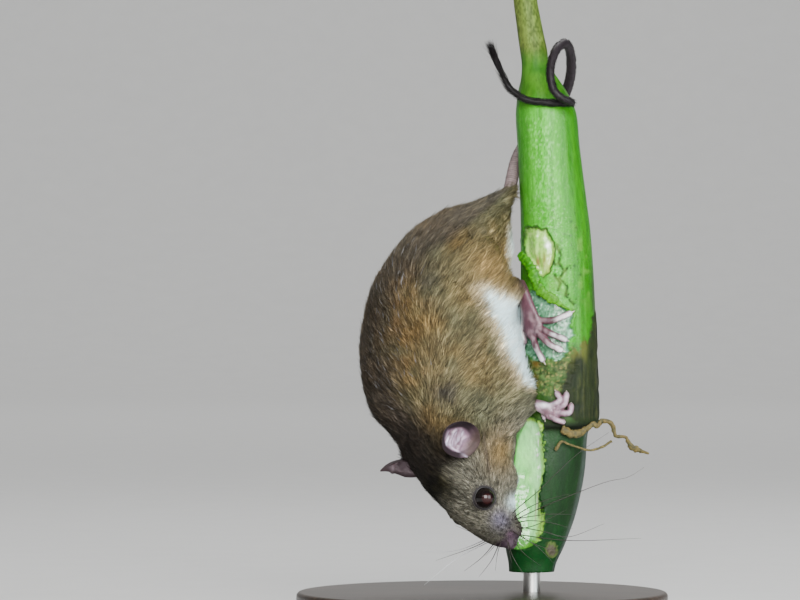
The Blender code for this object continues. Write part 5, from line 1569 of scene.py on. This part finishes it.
# %% Roots scattered over the skin
def scatter(piece, count, rng):
    """Random places on a mesh, denser where the hair is finer."""
    mesh = piece.data
    corners = triangles_of(mesh)
    points, normals = to_local(points_of(mesh)), normals_of(mesh)
    a, b, c = (points[corners[:, k]] for k in range(3))
    area = 0.5 * np.linalg.norm(np.cross(b - a, c - a), axis=1)
    middle = (a + b + c) / 3
    back, _, _ = head_place(middle)
    want = np.where(
        back < 50, np.interp(back, (1.2, 3.2, 9, 16, 26, 50), (0.0, 6.0, 4.2, 2.9, 2.0, 1.0)), 1.0
    )
    for spot in eye_spots.values():
        want = want * ramp(4.0, 4.5, away_from(middle, spot))
    want = want * np.where(gap_to_stalk(middle) < 2.9, 0.35, 1.0)
    weight = np.cumsum(area * want)
    picked = np.searchsorted(weight, rng.random(count) * weight[-1])
    u, v = rng.random(count), rng.random(count)
    over = u + v > 1
    u[over], v[over] = 1 - u[over], 1 - v[over]
    mix = np.stack([1 - u - v, u, v], 1)[..., None]
    chosen = corners[picked]
    return (points[chosen] * mix).sum(1), unit((normals[chosen] * mix).sum(1))


ROOT_SUNK = 0.25
THIRD_TURNS = (0.0, 2.094, 4.189)


def tuft_arrays(roots, normals, lie, length, thick, depth, rng, bent=True):
    """Closed spikes: three points at the root, three more at the bend if there is one, one at the tip."""
    count = len(roots)
    side = np.cross(normals, lie)
    rise = np.clip(depth / length, 0.05, 0.8)
    lean = np.clip(rise * rng.uniform(0.75, 1.25, count), 0.04, 0.85)
    half = (0.5 * length)[:, None]
    level = np.sqrt(1 - np.minimum(1.45 * lean, 0.95) ** 2)[:, None]
    knee = roots + (lie * level + normals * (1.45 * lean)[:, None]) * half
    tip = knee + (lie * 0.98 + normals * (0.55 * lean)[:, None]) * half
    tip = tip + side * (rng.normal(0, 0.10, count) * length)[:, None]
    corners = []
    rings = ((roots - normals * ROOT_SUNK, 1.0), (knee, 0.85))[: 2 if bent else 1]
    for centre, scale in rings:
        for turn in THIRD_TURNS:
            around = side * math.cos(turn + 0.52) + normals * math.sin(turn + 0.52)
            corners.append(centre + around * (thick * scale)[:, None])
    corners.append(tip)
    points = np.stack(corners, 1).reshape(-1, 3)
    base = (np.arange(count) * len(corners))[:, None]
    if not bent:
        tris = np.concatenate([base + np.array(t) for t in ((0, 1, 3), (1, 2, 3), (2, 0, 3), (0, 2, 1))])
        return points, [tris]
    quads = np.concatenate([base + np.array(q) for q in ((0, 1, 4, 3), (1, 2, 5, 4), (2, 0, 3, 5))])
    tris = np.concatenate([base + np.array(t) for t in ((3, 4, 6), (4, 5, 6), (5, 3, 6), (0, 2, 1))])
    return points, [quads, tris]


def tuft_colours(tone, white, rng, bent=True):
    """A colour for each point of each tuft: dark root, even middle, pale or black tip."""
    count = len(tone)
    shade = rng.normal(1.0, 0.27, count).clip(0.35, 1.7)[:, None]
    root = blend(tone * 0.26, tone * 0.95, white)
    kind = rng.random(count)
    pale = tone * np.array((1.52, 1.46, 1.36)) * shade
    tip = np.where(
        (kind < 0.62)[:, None], pale, np.where((kind < 0.88)[:, None], tone * 0.80 * shade, tone * 0.30)
    )
    tip = blend(tip, np.clip(tone * 1.08, 0, 0.99), white)
    if not bent:
        return np.stack([root] * 3 + [tip], 1).reshape(-1, 3)
    knee = np.where((kind > 0.92)[:, None], tone * 0.40, tone * shade)
    knee = blend(knee, tone * np.clip(shade, 0.95, 1.03), white)
    return np.stack([root] * 3 + [knee] * 3 + [tip], 1).reshape(-1, 3)


# %% [markdown]
# Each coat piece carries a map named OFBake, for baking its colours. Every tuft gets a
# tiny patch of that map, placed where its root lies on an unrolled skin: around the trunk's line
# one way and along it the other way. Neighbouring tufts then share the colours of their place.

# %% Coat pieces and their maps
coat_finish = new_finish("coat_hair", 0.50, mottling=(600, 2.0, 0.93, 1.07), Specular_IOR_Level=0.16)
PATCH = np.array([(-1, -1), (1, -1), (0, 1), (-0.6, -0.6), (0.6, -0.6), (0, 0.6), (0, 0)]) * 0.0015
BENT_POINTS, STRAIGHT_POINTS = 7, 4
HEAD_LENGTH = 44
NECK_HEIGHT = 84


def unroll(points):
    """The skin laid flat: turn around the body's middle line, and distance along it."""
    middle = np.stack([np.interp(points[:, 2], SPINE[:, 2], SPINE[:, k]) for k in range(2)], 1)
    back, left, up = head_place(points)
    on_head = points[:, 2] < NECK_HEIGHT
    turn = np.where(
        on_head, np.arctan2(left, up - 2.5),
        np.arctan2(-(points[:, 1] - middle[:, 1]), -(points[:, 0] - middle[:, 0]))
    )
    along = np.where(on_head, back, HEAD_LENGTH + (points[:, 2] - NECK_HEIGHT))
    return np.stack([turn, along], 1)


def add_bake_map(piece, flat, corners):
    """Lays each tuft's few points on a tiny patch of the map, at its root's flat place."""
    low, high = flat.min(0), flat.max(0)
    flat = 0.01 + 0.98 * (flat - low) / (high - low)
    patch = PATCH if corners == BENT_POINTS else PATCH[[0, 1, 2, 6]]
    spots = (flat[:, None, :] + patch[None]).reshape(-1, 2)
    index = read(piece.data.loops, "vertex_index", 1, np.int32).ravel()
    layer = piece.data.uv_layers.new(name="OFBake")
    layer.data.foreach_set("uv", spots[index].astype(np.float32).ravel())


def coat_region(points):
    """Which coat piece a root belongs to."""
    back, _, _ = head_place(points)
    z = points[:, 2]
    level = np.select(
        [(back < 15), (back < 30) & (z < NECK_HEIGHT), (z < 96), (z < 112), (z < 128), (z < 144)], range(6), 6
    )
    return level * 2 + (points[:, 1] > np.interp(z, (45, 84, 96), (-10.5, -3.5, 0)))


REGION_NAMES = ("muzzle", "face", "nape", "shoulder", "chest", "flank", "rump")
BENT_TUFTS = 54_000
STRAIGHT_TUFTS = 212_000


def grow_coat(piece):
    for count, bent, seed, word in ((BENT_TUFTS, True, 7, "locks"), (STRAIGHT_TUFTS, False, 8, "hairs")):
        rng = np.random.default_rng(seed)
        roots, normals = scatter(piece, count, rng)
        lie = hair_lie(roots, normals)
        lie = unit(lie + rng.normal(0, 0.12 if bent else 0.16, lie.shape))
        lie = unit(lie - normals * (lie * normals).sum(1, keepdims=True))
        length, thick = hair_size(roots)
        length = length * rng.uniform(0.75, 1.2, len(roots)) * (1.0 if bent else 0.92)
        thick = thick * rng.uniform(0.8, 1.2, len(roots)) * (0.92 if bent else 0.68)
        depth = coat_depth(roots) * (0.88 if bent else rng.uniform(0.80, 1.02, len(roots)))
        depth = depth * np.where(rng.random(len(roots)) < 0.06, 1.35, 1.0)
        tone, white = coat_tone(roots + (lie * 0.7 * length[:, None] + normals * depth[:, None]))
        middle = roots + lie * (0.55 * length)[:, None]
        angle = hair_angle(roots)
        face = ramp(34, 22, head_place(roots)[0])
        lock = 1.00 * streaks(middle, angle, 0.26, 2.3, 62)
        lock = lock + 0.50 * streaks(middle, angle, 0.8, 4.5, 63) * (1 - 0.8 * face)
        fine = streaks(middle, angle, 0.34, 1.1, 64) * ramp(4, 14, head_place(roots)[0])
        lock = lock * (1 - face) + 1.20 * face * fine + 0.15 * wander(roots, 2.2, 61)
        lock = 1 + (np.exp(lock) - 1) * (1 - 0.80 * white)
        tone = tone * lock[:, None]
        silver = rng.random(len(roots)) < 0.05 * peak(roots[:, 0], -32, 7) * ramp(92, 100, roots[:, 2])
        tone[silver] = (0.21, 0.21, 0.22)
        region = coat_region(roots)
        for number in range(2 * len(REGION_NAMES)):
            mine = np.flatnonzero(region == number)
            if not len(mine):
                continue
            rows = (array[mine] for array in (roots, normals, lie, length, thick, depth))
            points, faces = tuft_arrays(*rows, rng, bent)
            colours = tuft_colours(tone[mine], white[mine], rng, bent)
            name = f"coat_{word}_{REGION_NAMES[number // 2]}" + ("_right" if number % 2 else "_left")
            coat = add_piece(name, points, faces, coat_finish, colours)
            add_bake_map(coat, unroll(roots[mine]), BENT_POINTS if bent else STRAIGHT_POINTS)
            settle(coat, "fur")
            print(name, len(mine), "tufts,", len(mine) * (10 if bent else 4), "triangles")


grow_coat(skin)

# %% [markdown]
# Along the tail and at its tip the same kind of spike is used, thinner and darker. At the tip they
# are long and close together, which makes the pointed pencil that is the mark of these mice.

# %% Hair of the tail
tail_hair_finish = new_finish("tail_hair", 0.5, mottling=(600, 2.0, 0.9, 1.1), Specular_IOR_Level=0.2)
TAIL_HAIRS = 3600
PENCIL_HAIRS = 620
PENCIL_TIP = np.array((1.7, -9.6, 223.4))


def add_tail_hair(name, tufts, tone, spin, along, *nodes):
    piece = add_piece(name, *tufts, tail_hair_finish, np.repeat(tone, BENT_POINTS, axis=0))
    add_bake_map(piece, np.stack([np.arctan2(spin[:, 1], spin[:, 2]), along], 1), BENT_POINTS)
    settle(piece, "tuft", *nodes)


def tail_hair():
    rng = np.random.default_rng(9)
    count = TAIL_HAIRS
    place = rng.uniform(0.01, 1.0, count) ** 0.85
    at = np.stack([np.interp(place, tail_share, tail_line[:, k]) for k in range(3)], 1)
    ahead = unit(np.stack([np.interp(place, tail_share, tail_ahead[:, k]) for k in range(3)], 1))
    spin = unit(np.cross(ahead, rng.normal(0, 1, (count, 3))))
    roots = at + spin * np.interp(place, tail_share, tail_radius)[:, None] * 0.97
    length = (1.3 + 1.2 * place + 2.0 * ramp(0.85, 1.0, place)) * rng.uniform(0.7, 1.2, count)
    tufts = tuft_arrays(roots, spin, ahead, length, np.full(count, 0.055), length * 0.16, rng)
    tone = blend((0.10, 0.08, 0.075), (0.02, 0.016, 0.015), ramp(0.05, 0.3, place))
    tone = tone * (1 - 0.5 * ramp(0.1, 0.3, place))[:, None] * rng.uniform(0.6, 1.5, count)[:, None]
    add_tail_hair("tail_hairs", tufts, tone, spin, place * 145)
    count = PENCIL_HAIRS
    back_off = rng.random(count) ** 1.6 * 7.0
    index = np.clip(np.searchsorted(tail_run, tail_run[-1] - back_off), 0, TAIL_ROWS - 1)
    spin = unit(np.cross(tail_ahead[index], rng.normal(0, 1, (count, 3))))
    roots = tail_line[index] + spin * tail_radius[index][:, None] * 0.9
    aim = unit(PENCIL_TIP + rng.normal(0, 0.30, (count, 3)) - roots)
    reach = np.linalg.norm(PENCIL_TIP - roots, axis=1) * rng.uniform(0.45, 1.05, count)
    tufts = tuft_arrays(roots, spin, aim, reach, np.full(count, 0.09), reach * 0.03, rng)
    tone = np.array((0.007, 0.005, 0.006)) * rng.uniform(0.5, 1.6, count)[:, None]
    add_tail_hair("tail_pencil", tufts, tone, spin, back_off, "tail_tuft")


tail_hair()
print("tail hair made")

# %% [markdown]
# ## Whiskers
# Whiskers are stiff, tapering and slightly curved. The long dark ones fan out from the pads beside
# the nose; a few are silvery. Each is a thin four-sided tube along a smooth curve.

# %% Whiskers
WHISKERS = (
    (
        (8.6, -13.6, 57.0), (12.0, -16.0, 60.8), (19.2, -18.4, 66.9), (25.5, -19.5, 73.2),
        (33.2, -20.2, 80.2), (43.4, -20.5, 87.2)
    ),
    (
        (9.2, -13.4, 55.8), (20.3, -18.4, 61.2), (26.9, -19.8, 64.1), (42.0, -21.0, 70.0),
        (50.0, -21.4, 71.8), (55.6, -21.5, 75.2)
    ),
    ((8.6, -13.8, 56.6), (22.0, -18.2, 58.8), (32.2, -18.5, 58.8)),
    ((8.0, -13.8, 55.2), (21.0, -18.5, 52.9), (29.7, -19.4, 51.1), (42.0, -20.0, 55.7)),
    ((11.0, -13.0, 51.8), (30.0, -18.6, 49.8), (54.6, -21.0, 50.7)),
    ((8.2, -13.4, 52.8), (10.0, -17.6, 45.0), (14.7, -19.5, 37.1)),
    ((6.6, -13.4, 53.6), (4.4, -18.0, 48.6), (1.0, -22.0, 44.8)),
    ((7.6, -13.2, 52.6), (5.2, -17.4, 45.8), (4.2, -20.0, 39.4)),
    ((9.0, -13.2, 54.2), (17.0, -18.0, 49.0), (27.0, -20.5, 45.5)),
    ((9.8, -13.2, 53.2), (18.0, -17.5, 55.0), (29.0, -19.0, 60.5)),
    ((9.2, -13.0, 52.6), (13.5, -17.0, 46.0), (20.0, -19.5, 41.0)),
    ((9.4, -13.3, 54.8), (15.5, -17.4, 56.6), (23.0, -18.8, 56.0), (31.0, -19.4, 54.0)),
    ((8.4, -13.7, 54.2), (12.5, -17.5, 51.6), (19.0, -19.3, 47.5), (24.5, -20.0, 42.0)),
    ((7.4, -13.6, 53.8), (8.6, -17.4, 48.2), (10.0, -19.6, 42.0)),
    ((9.9, -13.1, 56.4), (14.0, -16.6, 60.0), (21.0, -18.6, 63.5), (30.0, -19.8, 66.0)),
    ((6.9, -13.7, 55.6), (4.4, -18.0, 52.0), (0.5, -21.5, 49.5)),
    ((5.6, -9.0, 50.4), (-8.5, 1.2, 42.6), (-20.3, 4.5, 32.9)),
    ((5.6, -8.8, 51.4), (-3.0, 8.0, 46.0), (-16.0, 23.0, 40.5)),
    ((5.2, -8.8, 52.6), (-1.0, 11.0, 50.5), (-9.0, 31.0, 52.5)),
    ((5.0, -9.0, 53.2), (-2.5, 8.0, 56.5), (-14.0, 28.0, 63.5)),
    ((5.8, -9.0, 51.8), (-9.0, 5.5, 45.0), (-24.0, 15.0, 44.5)),
    ((6.4, -8.6, 49.6), (3.4, 0.0, 42.0), (-1.0, 8.0, 35.5)),
    ((5.8, -8.6, 50.6), (0.5, 5.0, 43.0), (-6.0, 18.0, 37.0)),
)
SILVER_WHISKERS = (16, 20)
WHISKER_POINTS = 22
whisker_finish = new_finish("whisker_hair", 0.35)
whisker_parts, whisker_tints = [], []
for i, line in enumerate(WHISKERS):
    sizes = np.linspace(0.215, 0.040, WHISKER_POINTS)
    whisker_parts.append(tube_arrays(curve_through(line, WHISKER_POINTS), sizes, sizes, UP, 5))
    tone = (0.66, 0.66, 0.70) if i in SILVER_WHISKERS else (0.022, 0.016, 0.014)
    whisker_tints.append(np.tile(tone, (len(whisker_parts[-1][0]), 1)))
whiskers = add_piece("whiskers", *join_arrays(whisker_parts), whisker_finish, np.vstack(whisker_tints))
settle(whiskers, "fur")
print("whiskers:", len(WHISKERS))

# %% [markdown]
# ## Torn fibres and peel
# Where the sheath was torn, dry tan fibres curl away to the right, and a bright strip of green skin
# hangs off the upper bite. They are flat tubes along bent lines, roughened by noise.

# %% Fibres and peel
FIBRE = (
    (27.3, -14.6, 88.2), (32.2, -13.4, 86.4), (36.0, -11.8, 88.2), (38.5, -11.0, 89.9), (39.9, -10.6, 89.0),
    (41.6, -10.2, 91.0), (44.8, -10.0, 90.0), (45.8, -9.8, 87.2), (46.8, -9.6, 85.6), (49.7, -9.4, 85.2),
    (51.4, -9.2, 82.3), (53.2, -9.0, 81.2), (58.0, -8.8, 79.5),
)
THREAD = (
    (45.0, -9.8, 84.0), (41.6, -10.0, 81.9), (37.4, -10.8, 80.8), (32.9, -12.3, 81.9), (29.8, -13.6, 83.0),
    (27.3, -14.4, 83.8), (25.2, -14.2, 80.8),
)
PEEL = (
    (12.9, -6.2, 149.2), (15.4, -9.4, 146.2), (17.4, -11.4, 142.6), (18.6, -11.9, 138.6),
    (21.2, -13.0, 135.2), (24.4, -13.8, 133.4), (26.4, -13.8, 131.8), (31.0, -13.0, 129.2),
)
STRIP_POINTS, STRIP_SIDES = 180, 14
fibre_finish = new_finish("dry_fibre", 0.72, [(2400, 4.0, 0.7, 0.0002)], (1500, 4.0, 0.55, 1.3))
peel_finish = new_finish(
    "fresh_peel", 0.46, [(1300, 4.0, 0.5, 0.0003)], (900, 4.0, 0.6, 1.2),
    Subsurface_Weight=0.1, Subsurface_Scale=0.001, Specular_IOR_Level=0.22,
)


def add_strip(name, node, line, radii, flat, finish, dark, light, slot, rough=0.22, outward=None, end=None):
    rows = curve_through(line, STRIP_POINTS)
    share = np.linspace(0, 1, STRIP_POINTS)
    sizes = np.interp(share, np.linspace(0, 1, len(radii)), radii)
    hints = None
    if outward is not None:
        hints = np.cross(np.tile(outward, (STRIP_POINTS, 1)), np.gradient(rows, axis=0))
    points, faces = tube_arrays(rows, sizes, sizes * flat, (0, 0, 1), STRIP_SIDES, hints)
    bumps = wander(points, 0.9, 71) + 0.6 * wander(points, 0.4, 72)
    middle = np.vstack([np.repeat(rows, STRIP_SIDES, axis=0), rows[:1], rows[-1:]])
    points = middle + (points - middle) * (1 + rough * bumps)[:, None]
    tint = blend(dark, light, np.clip(0.5 + 0.6 * wander(points, 0.8, 73), 0, 1))
    if end is not None:
        ended = np.concatenate([np.repeat(ramp(0.35, 0.75, share), STRIP_SIDES), [0, 1]])
        tint = blend(tint, end, ended * 0.8)
    settle(add_piece(name, points, faces, finish, tint), slot, node)


add_strip(
    "torn_fibre", "stalk_fibre", FIBRE, (1.4, 1.5, 1.1, 0.8, 0.8, 0.7, 0.6, 1.15, 0.3), 0.5,
    fibre_finish, (0.034, 0.034, 0.006), (0.128, 0.088, 0.016), "fibre", 0.3,
)
add_strip(
    "fibre_thread", "stalk_thread", THREAD, (0.45, 0.4, 0.35, 0.4, 0.6), 0.9,
    fibre_finish, (0.048, 0.040, 0.008), (0.150, 0.112, 0.025), "fibre",
)
add_strip(
    "peeled_strip", "stalk_peel", PEEL, (1.2, 1.85, 1.80, 1.65, 1.80, 1.60, 0.8, 0.2), 0.32,
    peel_finish, (0.010, 0.105, 0.001), (0.060, 0.290, 0.004), "peel", 0.34,
    outward=(-0.3, -0.95, 0.0), end=(0.070, 0.250, 0.004),
)
print("fibres and peel made")

# %% [markdown]
# ## The display stand
# The hanging stalk needs something to hold it, so a plain round base and a short steel rod carry
# it. The base is a turned disc with a rounded edge, finished like dark stained wood.

# %% Base and rod
base_finish = new_finish(
    "stained_wood", 0.38, [(60, 6.0, 0.15, 0.0003, (1.0, 9.0, 9.0))],
    grade=(60, 6.0, (0.35, (0.020, 0.014, 0.011)), (0.70, (0.055, 0.036, 0.026)), (1.0, 9.0, 9.0)),
)
rod_finish = new_finish(
    "brushed_rod", 0.32, Metallic=1.0,
    grade=(1800, 3.0, (0.0, (0.42, 0.42, 0.41)), (1.0, (0.66, 0.66, 0.64)), (1.0, 1.0, 0.05)),
)


def turned(name, node, profile, turns, place, finish, slot):
    """A closed form turned about an upright line, from (radius, height) pairs in millimetres."""
    angles = np.linspace(0, 2 * math.pi, turns, endpoint=False)
    rings = [np.stack([r * np.cos(angles), r * np.sin(angles), np.full(turns, z)], 1) for r, z in profile]
    points = np.vstack(rings + [[(0, 0, profile[0][1])], [(0, 0, profile[-1][1])]]) + np.array((place, 0, 0))
    piece = add_piece(name, points * MM, ring_faces(len(profile), turns), finish, world=False)
    piece.data.set_sharp_from_angle(angle=math.radians(50))
    settle(piece, slot, node)


BASE_RADIUS, BASE_HEIGHT, BASE_EDGE = 65.0, 10.0, 1.5
quarter = np.linspace(0, math.pi / 2, 7)
edge = [
    (BASE_RADIUS - BASE_EDGE + BASE_EDGE * math.cos(a), BASE_HEIGHT - BASE_EDGE + BASE_EDGE * math.sin(a))
    for a in quarter
]
base_profile = [(64.4, 0.0), (BASE_RADIUS, 0.6)] + edge + [(30, BASE_HEIGHT)]
turned("display_base", "stand_base", base_profile, 160, 0.0, base_finish, "base")
turned("display_rod", "stand_rod", [(3.0, BASE_HEIGHT), (3.0, 17.2)], 40, 17.4, rod_finish, "rod")
print("stand made")

# %% [markdown]
# ## Studio
# The animal stands on a plain pale floor that curves up into a backdrop, under large soft lights.
# The camera looks level, like the photograph, from far enough for a flat, undistorted view.

# %% Floor, light and camera
floor_finish = new_finish(
    "studio_paper", 0.9, grade=(40, 2.0, (0.0, (0.60, 0.60, 0.59)), (1.0, (0.64, 0.64, 0.63)))
)
BEND = 1.6
bend = [(3.6 + BEND * math.sin(a), BEND - BEND * math.cos(a)) for a in np.linspace(0, math.pi / 2, 24)]
profile = [(-7.0, 0.0), (3.0, 0.0)] + bend + [(5.2, 6.0)]
sheet = np.array([(x, y, z) for y, z in profile for x in (-7.0, 7.0)])
strips = np.array([(2 * i, 2 * i + 1, 2 * i + 3, 2 * i + 2) for i in range(len(profile) - 1)])
floor = add_piece("studio_floor", sheet, strips, floor_finish, world=False)


def soft_light(name, place, aim, size, power, colour=(1, 1, 1)):
    data = bpy.data.lights.new(name, "AREA")
    data.shape = "RECTANGLE"
    data.size, data.size_y = size
    data.energy = power
    data.color = colour
    lamp = bpy.data.objects.new(name, data)
    lamp.location = place
    lamp.rotation_euler = (Vector(aim) - Vector(place)).to_track_quat("-Z", "Y").to_euler()
    bpy.context.scene.collection.objects.link(lamp)


CENTRE = (-0.005, 0.0, 0.11)
soft_light("camera_light", (0.16, -1.1, 0.42), CENTRE, (0.70, 0.70), 27.5, (1.0, 0.99, 0.98))
soft_light("key_light", (-0.55, -1.35, 0.75), CENTRE, (0.7, 0.7), 4.6, (1.0, 0.985, 0.96))
soft_light("fill_light", (0.95, -0.8, 0.30), CENTRE, (0.8, 0.8), 17.0, (0.88, 0.97, 1.0))
soft_light("top_light", (0.1, 0.45, 1.0), CENTRE, (0.8, 0.8), 5.8)
soft_light("paper_light", (0.0, 2.2, 3.6), (0.0, 4.2, 0.3), (3.0, 2.0), 130.0)
world = bpy.data.worlds.new("studio_air")
world.use_nodes = True
world.node_tree.nodes["Background"].inputs["Color"].default_value = (0.72, 0.73, 0.75, 1)
world.node_tree.nodes["Background"].inputs["Strength"].default_value = 0.17
bpy.context.scene.world = world

camera_data = bpy.data.cameras.new("photo_camera")
camera_data.sensor_width = 36.0
camera_data.lens = 205.7
camera_data.clip_end = 20.0
camera = bpy.data.objects.new("photo_camera", camera_data)
camera.location = (-0.0287, -1.6, 0.112)
camera.rotation_euler = (math.radians(90), 0, 0)
bpy.context.scene.collection.objects.link(camera)
bpy.context.scene.camera = camera
print("camera at", tuple(camera.location))
